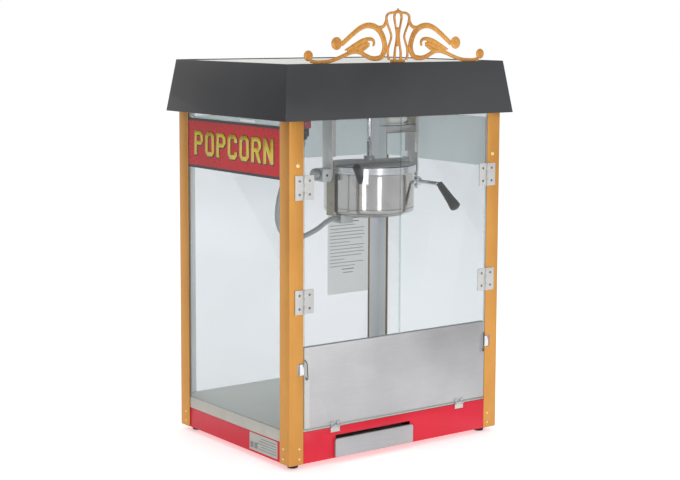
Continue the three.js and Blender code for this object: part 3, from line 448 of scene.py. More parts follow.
# key: material name, dark and light sRGB, roughness range, metallic, grain, bump, anything more
FINISHES = {
    "rubber": ("rubber", (20, 20, 22), (36, 36, 38), (0.65, 0.85), 0.0, (600, EVEN), (0.3, 0.0003), dict()),
    "gold": ("gold", (198, 138, 62), (216, 156, 78), (0.32, 0.46), 0.55,
        (60, (14, 14, 0.35)), (0.08, 0.0002), dict(wear=(linear(240, 204, 140), 0.0007))),
    "dome": ("gold_dome", (232, 196, 128), (246, 216, 156), (0.2, 0.3), 0.6,
        (300, EVEN), (0.05, 0.0001), dict()),
    "strap": ("warm_steel", (142, 138, 118), (176, 172, 152), (0.34, 0.5), 0.7,
        (60, (12, 12, 0.5)), (0.08, 0.0002), dict()),
    "hinge": ("hinge_satin", (188, 188, 187), (206, 206, 204), (0.4, 0.5), 0.45,
        (200, EVEN), (0.05, 0.0001), dict()),
    "dark_screw": ("hinge_screw", (92, 92, 94), (128, 128, 130), (0.3, 0.45), 0.7,
        (400, EVEN), (0.05, 0.0001), dict()),
    "pale_cast": ("pale_cast", (200, 202, 202), (222, 224, 224), (0.4, 0.55), 0.15,
        (160, EVEN), (0.12, 0.0002), dict()),
    "panel": ("panel_steel", (172, 172, 174), (194, 194, 196), (0.34, 0.48), 0.6,
        (40, (0.5, 8, 30)), (0.08, 0.0002), dict()),
    "rim": ("kettle_rim", (206, 207, 208), (228, 229, 230), (0.2, 0.3), 0.75,
        (30, (0.6, 0.6, 40)), (0.04, 0.0001), dict()),
    # the deck's top colour is painted light: a lighter top on its upward faces
    "deck": ("deck_steel", (182, 180, 172), (200, 198, 190), (0.48, 0.62), 0.1,
        (50, EVEN), (0.12, 0.0002), dict(top=linear(240, 242, 235))),
    # the sign backing glows: painted light standing in for light through the film
    "film": ("sign_backing", (224, 235, 235), (234, 243, 243), (0.4, 0.55), 0.0,
        (90, EVEN), (0.05, 0.0001), dict(painted_glow=0.17)),
    "red": ("red", (206, 26, 48), (222, 38, 62), (0.3, 0.42), 0.0,
        (420, EVEN), (0.06, 0.0002), dict(gloss=0.3, wear=(linear(240, 90, 100), 0.0007))),
    "steel": ("brushed_steel", (176, 176, 174), (205, 205, 203), (0.3, 0.44), 0.85,
        (40, (0.5, 8, 30)), (0.1, 0.0002), dict()),
    "steel_up": ("brushed_steel_upright", (204, 202, 198), (222, 220, 216), (0.34, 0.48), 0.45,
        (40, (30, 30, 0.5)), (0.1, 0.0002), dict()),
    "pot": ("spun_steel", (172, 167, 162), (202, 199, 195), (0.09, 0.14), 1.0,
        (30, (0.6, 0.6, 40)), (0.04, 0.00008), dict()),
    "chrome": ("polished_steel", (205, 205, 208), (232, 232, 234), (0.08, 0.18), 1.0,
        (120, EVEN), (0.03, 0.0001), dict()),
    "charcoal": ("charcoal_paint", (43, 44, 47), (52, 53, 56), (0.34, 0.46), 0.0,
        (900, EVEN), (0.12, 0.0002), dict(wear=(linear(98, 99, 102), 0.0009), coat=0.15)),
    "white": ("white_paint", (226, 226, 222), (240, 240, 236), (0.4, 0.55), 0.0,
        (500, EVEN), (0.06, 0.0002), dict()),
    "galvanised": ("galvanised", (138, 140, 142), (188, 190, 192), (0.35, 0.55), 0.8,
        (45, EVEN), (0.08, 0.0002), dict()),
    "crest": ("antique_gold", (176, 112, 44), (228, 168, 88), (0.34, 0.52), 0.6,
        (130, EVEN), (0.4, 0.0006), dict()),
    "plastic": ("black_plastic", (22, 22, 24), (36, 36, 38), (0.35, 0.5), 0.0,
        (700, EVEN), (0.15, 0.0002), dict()),
    "conduit": ("grey_conduit", (150, 152, 152), (182, 184, 184), (0.45, 0.6), 0.2,
        (300, EVEN), (0.15, 0.0003), dict()),
    "lamp": ("lamp_frosted", (238, 236, 228), (252, 250, 244), (0.3, 0.45), 0.0,
        (300, EVEN), (0.05, 0.0001), dict()),
    "ceramic": ("lamp_ceramic", (132, 132, 104), (158, 156, 126), (0.5, 0.65), 0.0,
        (260, EVEN), (0.2, 0.0003), dict()),
    "sign_red": ("sign_red", (188, 30, 38), (206, 42, 48), (0.22, 0.34), 0.0,
        (200, EVEN), (0.03, 0.0001), dict(gloss=0.3)),
    "sign_black": ("sign_black", (42, 38, 44), (56, 52, 58), (0.3, 0.4), 0.0,
        (200, EVEN), (0.03, 0.0001), dict()),
    "sign_yellow": ("sign_yellow", (206, 178, 40), (226, 202, 78), (0.3, 0.42), 0.0,
        (160, EVEN), (0.05, 0.0001), dict()),
    # the liner glows: painted light that brightens it
    "liner": ("glass_liner", (222, 226, 228), (236, 239, 240), (0.35, 0.5), 0.1,
        (60, (12, 12, 0.4)), (0.06, 0.0001), dict(painted_glow=0.07)),
    "label": ("label", (178, 180, 174), (194, 196, 190), (0.5, 0.65), 0.0,
        (300, EVEN), (0.05, 0.0001), dict()),
    # the paper glows: painted light on the card and the label
    "paper": ("paper", (240, 240, 238), (248, 248, 246), (0.6, 0.75), 0.0,
        (500, EVEN), (0.05, 0.0001), dict(painted_glow=0.14)),
    "ink": ("ink", (120, 122, 126), (150, 152, 156), (0.6, 0.75), 0.0, (500, EVEN), (0.05, 0.0001), dict()),
    "red_foot": ("red_bushing", (150, 26, 46), (180, 36, 58), (0.4, 0.55), 0.0,
        (300, EVEN), (0.1, 0.0002), dict()),
}


def make_materials():
    m = {
        key: finish_material(name, linear(*dark), linear(*light), roughness, metallic, grain, bump, **more)
        for key, (name, dark, light, roughness, metallic, grain, bump, more) in FINISHES.items()
    }
    m["side_glass"] = glass_material("side_glass", "X", (0.885, 0.905, 0.912), GLASS_EDGE)
    m["front_glass"] = glass_material("front_glass", "Y", (0.890, 0.900, 0.910), GLASS_EDGE)
    return m


# ---------------------------------------------------------------- kettle lead
LEAD_POINTS = [Vector(p) * MM for p in (
    (-20.6, -20, 436), (-30, -20, 436), (-48, -24, 432), (-75, -32, 421), (-105, -40, 413),
    (-135, -48, 409), (-160, -54, 413), (-179, -58, 426), (-189, -60, 446), (-190, -61, 472),
    (-184, -61, 500), (-172, -60, 528), (-157, -60, 556), (-144, -60, 574), (-134, -60, 586),
    (-130.5, -60, 593), (-130, -60, 599),
)]
LEAD_DIAMETER = 0.010
LEAD_RING = 0.0032


def make_lead(m):
    path = spline(LEAD_POINTS, 40)
    length = sum((b - a).length for a, b in zip(path, path[1:]))
    rings = round(length / LEAD_RING)
    dense = spline(LEAD_POINTS, rings * 4 + 1)
    outer, inner = LEAD_DIAMETER / 2, LEAD_DIAMETER / 2 - 0.0005

    def radius(share):
        wave = 0.5 + 0.5 * math.cos(2 * math.pi * share * rings)
        return inner + (outer - inner) * wave

    lead = bpy.data.objects.new("kettle_lead_conduit", sweep_mesh(dense, radius, 16))
    scene.collection.objects.link(lead)
    lead.data.materials.append(m["conduit"])
    lead.data.shade_smooth()
    stands_for(lead, "kettle_lead")
    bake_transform(lead)
    return lead


# ---------------------------------------------------------------- cabinet
def screw(name, centre, normal, radius, material, body, height=0.0014):
    """A pan head, sitting on a surface at centre."""
    dome = [(0, height), (radius * 0.45, height * 0.96), (radius * 0.8, height * 0.7),
            (radius, height * 0.25), (radius, 0)]
    return lathe(name, dome[::-1], centre, normal, material, body, 20)


def make_cabinet(m):
    for end in ("front", "back"):
        for side in ("left", "right"):
            lo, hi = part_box(f"foot_{end}_{side}")
            r = (hi.x - lo.x) / 2
            h = hi.z - lo.z
            centre = ((lo.x + hi.x) / 2, (lo.y + hi.y) / 2, lo.z)
            foot = lathe(
                f"foot_{end}_{side}_rubber",
                [(0, 0.0018), (r * 0.35, 0.0018), (r * 0.4, 0.0003), (r * 0.8, 0), (r * 0.9, h * 0.25),
                 (r * 0.97, h * 0.6), (r, h * 0.68), (r, h), (0, h)],
                centre, (0, 0, 1), m["rubber"], "cabinet", 32)
            stands_for(foot, f"foot_{end}_{side}")
            refine(f"post_{end}_{side}", m["gold"], 0.0007)
    refine("base_tray", m["red"], 0.0009)
    refine("base_front_panel", m["red"], 0.0004)
    refine("deck_pan", m["deck"], 0.0005)
    refine("cord_inlet", m["plastic"], 0.0006)
    refine("canopy_fascia", m["charcoal"], 0.0009)
    refine("canopy_top", m["white"], 0.0006)
    refine("ceiling_plate", m["galvanised"], 0.0003)
    refine("left_glass", m["side_glass"], 0.0006)
    refine("right_glass", m["side_glass"], 0.0006)
    refine("back_glass", m["front_glass"], 0.0006)


def make_front(m):
    for side in ("left", "right"):
        refine(f"{side}_door_glass", m["front_glass"], 0.0007)
        for level in ("upper", "lower"):
            refine(f"{side}_post_leaf_{level}", m["hinge"], 0.0003)
            refine(f"{side}_door_leaf_{level}", m["hinge"], 0.0003)
        refine(f"panel_hinge_{side}", m["hinge"], 0.0003)
        refine(f"catch_{side}", m["chrome"], 0.0012)
        lo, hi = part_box(f"catch_{side}")
        edge = hi.x + 0.001 if side == "left" else lo.x - 0.001
        inward = 0.0035 if side == "left" else -0.0035
        wire = tube(f"catch_wire_{side}", spline([
            (edge, lo.y + 0.001, hi.z + 0.007), (edge + inward, lo.y - 0.0018, hi.z),
            (edge + inward * 1.3, lo.y - 0.0022, lo.z + 0.004),
            (edge + inward * 1.6, lo.y - 0.002, lo.z - 0.006),
            (edge + inward * 0.8, lo.y - 0.0015, lo.z - 0.009),
            (edge + inward * 0.5, lo.y - 0.001, lo.z - 0.003),
        ], 26), 0.0008, m["plastic"], "drop_panel", 10)
    lo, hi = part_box("drop_panel")
    fold = slab("drop_panel_fold", (lo.x + 0.0004, -0.19325, 0.0765), (lo.x + 0.012, -0.1929, hi.z - 0.0005),
                m["hinge"], "drop_panel", 0.0001)
    refine("drop_panel", m["panel"], 0.0007)
    refine("drawer_tray", m["steel"], 0.0003)
    refine("drawer_pull", m["panel"], 0.0012)
    for switch in ("light", "heat", "motor"):
        refine(f"switch_{switch}", m["plastic"], 0.0012)


# ---------------------------------------------------------------- kettle and what carries it
PIVOT = Vector((0.060, -0.020, 0.527))
X_AXIS, Y_AXIS, Z_AXIS = Vector((1, 0, 0)), Vector((0, 1, 0)), Vector((0, 0, 1))


def at_pivot(x, y, z):
    """A place given in millimetres from the kettle's tilt axis."""
    return PIVOT + Vector((x, y, z)) * MM


def mm(profile):
    return [(r * MM, h * MM) for r, h in profile]


def strap_slab(m, name, low, high):
    return slab(name, at_pivot(*low), at_pivot(*high), m["strap"], "kettle", 0.0009, 3)


def make_pot(m):
    pot = lathe("kettle_pot_spun", mm([
        (0, -81), (78, -81), (84, -80.8), (88, -79.8), (90.3, -77.6), (91, -74.5), (91, -70.4),
        (90.3, -70), (90.3, -69.2), (91, -68.8), (91, -66), (91, -5), (91, -3.2), (91.4, -1.8),
        (92.8, -1.1), (93.7, -0.6),
        (94, 0.4), (94, 2.2), (93.5, 2.6), (93.5, 11.2), (94, 11.6), (94, 12.9), (93.5, 13.7),
        (92.6, 14), (90.4, 14), (89.4, 13.6), (89, 12.8), (89, -72), (88, -76), (85, -78.6),
        (80, -79), (0, -79),
    ]), PIVOT, Z_AXIS, m["pot"], "kettle", 128)
    stands_for(pot, "kettle_pot")
    rim = lathe("kettle_rim_band", mm([(92, -0.6), (94.2, -0.4), (94.2, 13.2), (92, 13.6), (92, -0.6)]),
                PIVOT, Z_AXIS, m["rim"], "kettle", 128)
    refine("kettle_heater", m["steel"], 0.0008)

    parts = [
        strap_slab(m, "strap_bar", (-96.8, -12.5, -84), (-94.6, 12.5, 24)),
        lathe("strap_pin", mm([(0, 0), (5, 0), (5, 37), (0, 37)]), at_pivot(-126, 0, 0), X_AXIS,
              m["strap"], "kettle", 32),
    ]
    for z in (-18, -62):
        parts.append(lathe("strap_rivet", mm([(0, 1.5), (2, 1.3), (3.2, 0.7), (3.6, 0)]),
                           at_pivot(-96.8, 0, z), -X_AXIS, m["strap"], "kettle", 20))
    stands_for(merge("kettle_strap_steel", parts, m["strap"], "kettle"), "kettle_strap")
    knob = lathe("strap_knob", mm([
        (0, 0), (8.6, 0), (9.8, 0.4), (10.6, 1.4), (11, 3), (11, 5), (10.4, 5.5), (10.4, 6.3),
        (11, 6.8), (11, 11.2), (10.2, 12.5), (8.5, 13), (0, 13),
    ]), at_pivot(-139.3, 0, 0), X_AXIS, m["galvanised"], "kettle", 48)

    parts = [
        strap_slab(m, "arm_bar", (94.6, -12.5, -42), (96.8, 12.5, 24)),
        lathe("arm_pin", mm([(0, 0), (5, 0), (5, 25), (0, 25)]), at_pivot(95.6, 0, 0), X_AXIS, m["strap"],
              "kettle", 32),
        lathe("arm_nut", mm([(0, 2.4), (6.2, 2.4), (7, 1.8), (7, 0)]), at_pivot(120.5, 0, 0), X_AXIS,
              m["strap"], "kettle", 6),
        strap_slab(m, "arm_plate", (118, -10, -42), (120.5, 10, 12)),
        lathe("arm_hub", mm([(0, 0), (9, 0), (9, 34.6), (8, 36.2), (6, 36.4), (0, 36.4)]),
              at_pivot(95.6, 0, -28), X_AXIS, m["strap"], "kettle", 40),
        tube("arm_rod", spline([at_pivot(125, y, -28) for y in (-4, -30, -66.9)], 12),
             0.004, m["strap"], "kettle", 24),
    ]
    stands_for(merge("dump_arm_steel", parts, m["chrome"], "kettle"), "dump_arm")


def grip(name, node, start, end, radii, m, flutes):
    """A moulded handle that swells towards its end, with a ferrule, shallow flutes and a rounded butt."""
    along = end - start
    length = along.length
    small, large = radii
    turn = along.normalized().to_track_quat("Z", "Y")
    steps, sides = 44, flutes * 6
    verts, faces = [], []
    for i in range(steps + 1):
        share = i / steps
        height = length * share
        r = small + (large - small) * (0.35 * share + 0.65 * share ** 1.6)
        if share < 0.10:
            r = small * (0.94 + 0.06 * math.cos(share * 62))
        if share > 0.93:
            r *= math.sqrt(max(1 - ((share - 0.93) / 0.07) ** 2 * 0.9, 0.02))
        for k in range(sides):
            a = 2 * math.pi * k / sides
            inside = 0.14 < share < 0.86
            depth = 0.035 * r * max(0.0, math.sin(math.pi * (share - 0.14) / 0.72)) if inside else 0
            rr = r - depth * (0.5 + 0.5 * math.cos(flutes * a))
            verts.append(turn @ Vector((rr * math.cos(a), rr * math.sin(a), height)) + start)
    for i in range(steps):
        for k in range(sides):
            n = (k + 1) % sides
            faces.append((i * sides + k, i * sides + n, (i + 1) * sides + n, (i + 1) * sides + k))
    faces.append(tuple(range(sides))[::-1])
    faces.append(tuple(range(steps * sides, (steps + 1) * sides)))
    obj = new_object(name, mesh_from(verts, faces), m["plastic"], "kettle")
    bevel(obj, 0.0004, 2, 50)
    stands_for(obj, node)
    return obj


def make_grips(m):
    fall = math.radians(40)
    start = at_pivot(125, -67 - 0.3 - 7 * math.sin(fall), -28)
    end = start + Vector((0, -math.cos(fall), -math.sin(fall))) * 0.068
    grip("dump_grip_moulded", "dump_grip", start, end, (0.007, 0.0115), m, 8)
    azimuth, rise = math.radians(48), math.radians(42)
    tab_azimuth = math.radians(41)
    out = Vector((-math.sin(azimuth), -math.cos(azimuth), 0))
    start = at_pivot(0, 0, -14) + out * 0.0958
    end = start + (out * math.cos(rise) + Z_AXIS * math.sin(rise)) * 0.052
    grip("side_grip_moulded", "side_grip", start, end, (0.0045, 0.0085), m, 7)
    out = Vector((-math.sin(tab_azimuth), -math.cos(tab_azimuth), 0))
    facing = out.to_track_quat("Y", "Z").to_matrix().to_4x4()
    tab = merge("side_grip_tab", [
        slab("tab_front", (-0.005, 0.0944, -0.018), (0.005, 0.0956, 0.012), m["chrome"], "kettle", 0.0004),
        slab("tab_foot", (-0.005, 0.0906, -0.018), (0.005, 0.0950, -0.004), m["chrome"], "kettle", 0.0004),
    ], m["chrome"], "kettle")
    tab.data.transform(Matrix.Translation(PIVOT) @ facing)


def make_lids(m):
    for side, sign in (("front", -1), ("back", 1)):
        lo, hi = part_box(f"lid_{side}")
        thick = hi.z - lo.z
        centre = Vector((PIVOT.x, PIVOT.y, lo.z))
        hinge = 12.5 * MM
        radius = 0.0898
        rings = [
            (radius, 0.0), (radius, thick * 0.5), (radius - 0.0003, thick * 0.9),
            (radius - 0.0007, thick), (radius - 0.0045, thick), (radius - 0.0050, thick * 0.75),
            (radius - 0.008, thick * 0.55), (radius * 0.5, thick * 0.55),
        ]
        count = 48
        verts, faces = [], []
        for r, z in rings:
            start = math.asin(hinge / r)
            for i in range(count + 1):
                a = start + (math.pi - 2 * start) * i / count
                verts.append(centre + Vector((r * math.cos(a), sign * r * math.sin(a), z)))
        row = count + 1
        for k in range(len(rings) - 1):
            for i in range(count):
                faces.append((k * row + i, k * row + i + 1, (k + 1) * row + i + 1, (k + 1) * row + i))
        last = (len(rings) - 1) * row
        faces.append(tuple(range(last, last + row)))
        faces.append(tuple(range(row))[::-1])
        faces.append(tuple(k * row for k in range(len(rings))))
        faces.append(tuple(k * row + count for k in range(len(rings)))[::-1])
        lid = new_object(f"lid_{side}_pressed", mesh_from(verts, faces), m["steel"], f"lid_{side}")
        lid.data.shade_smooth()
        bevel(lid, 0.00015, 1, 40)
        stands_for(lid, f"lid_{side}")


def make_lamp(m):
    lo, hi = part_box("heat_lamp")
    r = (hi.z - lo.z) / 2
    centre = Vector((hi.x, (lo.y + hi.y) / 2, (lo.z + hi.z) / 2))
    k = r / 0.012
    lamp = lathe("heat_lamp_bulb", [(p * k * MM, h * MM) for p, h in [
        (0, 0), (8.8, 0), (9, 0.6), (9.6, 3), (11, 6.2), (11.8, 8.5), (12, 11), (12, 36), (11.7, 40),
        (10.6, 43.6), (8.6, 46.2), (5.6, 47.6), (2.8, 48), (0, 48),
    ]], centre, -X_AXIS, m["lamp"], "cabinet", 48)
    stands_for(lamp, "heat_lamp")
    refine("lamp_holder", m["ceramic"], 0.0012)
    refine("lamp_bracket", m["steel"], 0.0004)


def make_kettle(m):
    make_pot(m)
    make_grips(m)
    make_lids(m)
    make_lamp(m)
    for node, material, width in (
        ("hanger_left", "steel_up", 0.0006),
        ("hanger_right", "steel_up", 0.0006),
        ("pivot_block", "pale_cast", 0.0014),
        ("kettle_crossbar", "steel", 0.0006),
        ("stirrer", "chrome", 0.0005),
        ("drive_shaft", "chrome", 0.0004),
        ("gear_motor", "galvanised", 0.001),
        ("lead_plug", "plastic", 0.0014),
        ("lead_socket", "red_foot", 0.001),
    ):
        refine(node, m[material], width)
    lo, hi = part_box("pivot_block")
    # painted shade: a flat black disc stands for the dark of the hole in the pivot block
    hole = lathe("pivot_block_painted_hole_shade", mm([(0, 0.3), (2.4, 0.3), (2.7, 0)]),
                 ((lo.x + hi.x) / 2, lo.y, (lo.z + hi.z) / 2), -Y_AXIS, m["plastic"], "cabinet", 24)
    for side in ("left", "right"):
        lo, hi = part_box(f"hanger_{side}")
        boot = slab(f"hanger_boot_{side}", (lo.x - 0.002, lo.y - 0.002, 0.633),
                    (hi.x + 0.002, hi.y + 0.002, hi.z - 0.001), m["red_foot"], "cabinet", 0.001)


# ---------------------------------------------------------------- cresting
def ribbon(points, widths, thickness, y):
    """A moulded strip in the X-Z plane: an oval section whose width runs through the given widths."""
    path = spline([(x, 0, z) for x, z in points], max(12, len(points) * 7))
    verts, faces, sides = [], [], 14
    for i, p in enumerate(path):
        a = path[max(i - 1, 0)]
        b = path[min(i + 1, len(path) - 1)]
        t = (b - a).normalized()
        off = Vector((-t.z, 0, t.x))
        place = i / (len(path) - 1) * (len(widths) - 1)
        k = min(int(place), len(widths) - 2)
        w = (widths[k] + (place - k) * (widths[k + 1] - widths[k])) / 2
        for j in range(sides):
            angle = 2 * math.pi * j / sides
            c, d = math.cos(angle), math.sin(angle)
            c = math.copysign(abs(c) ** 0.8, c)
            verts.append(p + off * w * c + Vector((0, y + thickness / 2 * d, 0)))
    for i in range(len(path) - 1):
        for j in range(sides):
            n = (j + 1) % sides
            faces.append((i * sides + j, i * sides + n, (i + 1) * sides + n, (i + 1) * sides + j))
    faces.append(tuple(range(sides))[::-1])
    faces.append(tuple(range((len(path) - 1) * sides, len(path) * sides)))
    return mesh_from(verts, faces)


def ball_mesh(x, z, radius, depth, y):
    verts, faces, rings, sides = [], [], 10, 24
    for i in range(rings + 1):
        lat = math.pi * i / rings
        for k in range(sides):
            a = 2 * math.pi * k / sides
            verts.append(Vector((x + radius * math.sin(lat) * math.cos(a), y - depth * math.cos(lat),
                                 z + radius * math.sin(lat) * math.sin(a))))
    for i in range(rings):
        for k in range(sides):
            n = (k + 1) % sides
            faces.append((i * sides + k, i * sides + n, (i + 1) * sides + n, (i + 1) * sides + k))
    mesh = mesh_from(verts, faces)
    bm = bmesh.new()
    bm.from_mesh(mesh)
    bmesh.ops.remove_doubles(bm, verts=bm.verts, dist=1e-7)
    bm.to_mesh(mesh)
    bm.free()
    return mesh


CREST_HALF_WIDTH, CREST_TIP = 217, 101.7
CREST_SCROLL = [
    (132, 35), (108, 52.5), (88, 65), (70, 69.5), (53, 66), (41, 56.5), (34, 44), (31, 28),
    (38, 13), (51, 9), (64, 10), (77, 15), (90, 20.5), (104, 21.5), (120, 17.5), (138, 11),
    (160, 5.2), (186, 3.8), (202, 6),
]
CREST_RIBS = [
    ([(20, 6), (23.5, 14), (22.8, 27), (18.8, 38), (15.6, 48.5), (18.6, 59), (24.4, 71), (27.6, 83),
      (24.5, 89.5), (17, 92.5), (8, 93)], [5, 4.4, 4, 4.4, 5, 5]),
    ([(7.5, 7), (7, 20), (5, 33), (3.2, 44), (3.2, 56), (6, 70), (8.6, 84), (6.5, 93)], [6, 3.4, 3.4, 5.5]),
]


def make_cresting(m):
    lo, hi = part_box("roof_cresting")
    foot = lo.z
    y = (lo.y + hi.y) / 2
    depth = (hi.y - lo.y)
    scale = (hi.x - lo.x) / 2 / CREST_HALF_WIDTH
    rise = (hi.z - lo.z) / CREST_TIP
    meshes = []

    def place(sign, points):
        return [(sign * x * scale, foot + z * rise) for x, z in points]

    def strip(sign, points, widths, share, forward=0):
        widths = [v * MM for v in widths]
        meshes.append(ribbon(place(sign, points), widths, depth * share, y - forward))

    for sign in (-1, 1):
        strip(sign, CREST_SCROLL, [9, 10, 12, 11.5, 9, 8, 7.5, 7], 0.82)
        strip(sign, [(57, 67), (43, 65.5), (33, 69), (26, 80)], [8, 7, 7], 0.7)
        for (x, z), r in (((206.5, 15.5), 10.3), ((143, 37), 12.4)):
            bx, bz = place(sign, [(x, z)])[0]
            meshes.append(ball_mesh(bx, bz, r * MM, depth * 0.46, y))
        # curled ends: a thin spiral bead over each ball
        for (x, z), r in (((206.5, 15.5), 7.2), ((143, 37), 8.6)):
            spiral = []
            for i in range(15):
                a = -math.pi / 2 + i * 0.55
                rr = r * (1 - i / 17)
                spiral.append((x + rr * math.cos(a), z + rr * math.sin(a)))
            strip(sign, spiral, [2.6, 2.2, 2.6], 0.4, depth * 0.28)
        for line in (
            [(124, 24.5), (106, 32), (88, 40), (72, 44.5), (60, 43.5), (56.5, 37), (58.5, 31.5)],
            [(118, 22), (102, 27), (88, 32), (76, 36.5), (67, 36)],
            [(112, 20.5), (98, 22.5), (86, 25), (76, 29), (68, 33)],
        ):
            strip(sign, line, [3, 7.5, 9, 7.5, 4], 0.72)
        for points, widths in CREST_RIBS:
            strip(sign, points, widths, 0.8)
    strip(1, [(-17, 4.2), (-8, 3.4), (0, 3.2), (8, 3.4), (17, 4.2)], [6, 7, 6], 0.8)
    strip(1, [(0, 31), (0, 48), (0, 66)], [5, 7, 5], 0.9)
    strip(1, [(-9, 93), (0, 95), (9, 93)], [5, 8, 5], 0.8)
    strip(1, [(0, 92), (0, 97), (0, 101.4)], [6, 5, 1.5], 0.7)
    bm = bmesh.new()
    for mesh in meshes:
        bm.from_mesh(mesh)
    joined = bpy.data.meshes.new("mesh")
    bm.to_mesh(joined)
    bm.free()
    crest = new_object("roof_cresting_cast", joined, m["crest"], "cabinet")
    remesh = crest.modifiers.new("remesh", "REMESH")
    remesh.mode = "VOXEL"
    remesh.voxel_size = 0.0009
    remesh.use_smooth_shade = True
    smooth = crest.modifiers.new("smooth", "SMOOTH")
    smooth.iterations = 3
    smooth.factor = 0.5
    apply_modifiers(crest)
    crest.data.shade_smooth()
    stands_for(crest, "roof_cresting")


# ---------------------------------------------------------------- sign, trims and fixings
GLYPH_WIDTH, GLYPH_HEIGHT, STROKE, CHAMFER = 33.0, 47.5, 9.5, 8.0


def octagon(x0, z0, x1, z1, c):
    return [
        (x0 + c, z0), (x1 - c, z0), (x1, z0 + c), (x1, z1 - c),
        (x1 - c, z1), (x0 + c, z1), (x0, z1 - c), (x0, z0 + c),
    ]


def glyph(letter):
    """Plain block capitals on a 33 by 47.5 mm body."""
    w, h, s, c = GLYPH_WIDTH, GLYPH_HEIGHT, STROKE, CHAMFER
    waist = h * 0.42
    inner = max(c - s * 0.55, 1.5)
    if letter == "O":
        return [octagon(0, 0, w, h, c), octagon(s, s * 0.85, w - s, h - s * 0.85, inner)]
    if letter == "C":
        arm = h * 0.33
        return [[
            (c, 0), (w - c, 0), (w, c), (w, arm), (w - s, arm), (w - s, s * 0.85 + inner),
            (w - s - inner, s * 0.85), (s + inner, s * 0.85), (s, s * 0.85 + inner),
            (s, h - s * 0.85 - inner), (s + inner, h - s * 0.85), (w - s - inner, h - s * 0.85),
            (w - s, h - s * 0.85 - inner), (w - s, h - arm), (w, h - arm), (w, h - c), (w - c, h),
            (c, h), (0, h - c), (0, c),
        ]]
    if letter == "N":
        return [[
            (0, 0), (s, 0), (s, h * 0.56), (w - s, 0), (w, 0), (w, h), (w - s, h), (w - s, h * 0.44),
            (s, h), (0, h),
        ]]
    bowl_hole = [
        (s, waist + s * 0.8), (w - s - inner, waist + s * 0.8), (w - s, waist + s * 0.8 + inner),
        (w - s, h - s * 0.85 - inner), (w - s - inner, h - s * 0.85), (s, h - s * 0.85),
    ]
    if letter == "P":
        return [[
            (0, 0), (s + 2, 0), (s + 2, 3), (s, 5), (s, waist), (w - c, waist), (w, waist + c),
            (w, h - c), (w - c, h), (0, h),
        ], bowl_hole]
    return [[
        (0, 0), (s, 0), (s, waist), (s + 4, waist), (w - s, 0), (w, 0), (w - 7.5, waist - 0.5),
        (w - c, waist + 0.2), (w, waist + c), (w, h - c), (w - c, h), (0, h),
    ], bowl_hole]


def grown(outline, amount, hole=False):
    """The outline pushed out by amount, or a hole pulled in."""
    area = sum(a[0] * b[1] - b[0] * a[1] for a, b in zip(outline, outline[1:] + outline[:1]))
    if area < 0:
        outline = outline[::-1]
    push = -amount if hole else amount
    made = []
    count = len(outline)
    for i in range(count):
        a, b, c = (Vector(outline[(i + k) % count]) for k in (-1, 0, 1))
        e, f = (b - a).normalized(), (c - b).normalized()
        n1, n2 = Vector((e.y, -e.x)), Vector((f.y, -f.x))
        mid = n1 + n2
        made.append(tuple(b + mid * (push / max(mid.length_squared / 2, 0.4))))
    return made


SIGN_Z = (0.538, 0.6355)
SIGN_EDGE = 0.0052
SIDE_SIGN_HALF = 0.1595
BACK_SIGN_HALF = 0.2205
LETTER_PITCH = 0.0407
LETTER_FOOT = 0.5638


SIGN_SHEET = 0.00012
LETTER_EDGE, LETTER_SHIFT = 1.5, 0.9


def make_sign(m, pane, outward, reading, half):
    """A printed band with the word in block capitals on the outside of a pane, and a pale film inside."""
    lo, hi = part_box(pane)
    centre = (lo + hi) / 2
    size = hi - lo
    thickness = abs(size.dot(outward))
    face = outward * (centre.dot(outward) + thickness / 2)

    def layer(name, outlines, level, material):
        offset = (level + 0.5) * SIGN_SHEET + 0.00005 * (level + 1)
        return flat(f"{pane}_{name}", outlines,
                    lambda u, v, w: face + reading * u + Z_AXIS * v + outward * (offset + w),
                    SIGN_SHEET, m[material], "cabinet")

    def band(z0, z1):
        return [[(-half, z0), (half, z0), (half, z1), (-half, z1)]]

    low, high = SIGN_Z
    layer("sign_field", band(low + SIGN_EDGE, high - SIGN_EDGE), 0, "sign_red")
    layer("sign_line_low", band(low, low + SIGN_EDGE), 0, "sign_black")
    layer("sign_line_high", band(high - SIGN_EDGE, high), 0, "sign_black")
    edges, letters = [], []
    for i, letter in enumerate("POPCORN"):
        start = (i - 3) * LETTER_PITCH - GLYPH_WIDTH * MM / 2
        plain, wide = [], []
        for k, outline in enumerate(glyph(letter)):
            plain.append([(start + x * MM, LETTER_FOOT + z * MM) for x, z in outline])
            wide.append([(start + (x + LETTER_SHIFT) * MM, LETTER_FOOT + (z - LETTER_SHIFT) * MM)
                         for x, z in grown(outline, LETTER_EDGE, hole=k > 0)])
        edges.append(layer(f"letter_edge_{i}", wide, 1, "sign_black"))
        letters.append(layer(f"letter_{i}", plain, 2, "sign_yellow"))
    merge(f"{pane}_letter_edges", edges, m["sign_black"], "cabinet")
    merge(f"{pane}_letters", letters, m["sign_yellow"], "cabinet")

    # the backing film's material glows with painted light
    inner = face - outward * (thickness + 0.0001)
    corners = [
        inner - reading * half + Z_AXIS * low,
        inner + reading * half - outward * 0.0002 + Z_AXIS * high,
    ]
    film = slab(f"{pane}_sign_backing", Vector(map(min, *corners)), Vector(map(max, *corners)), m["film"],
                "cabinet", 0.00005, 1)


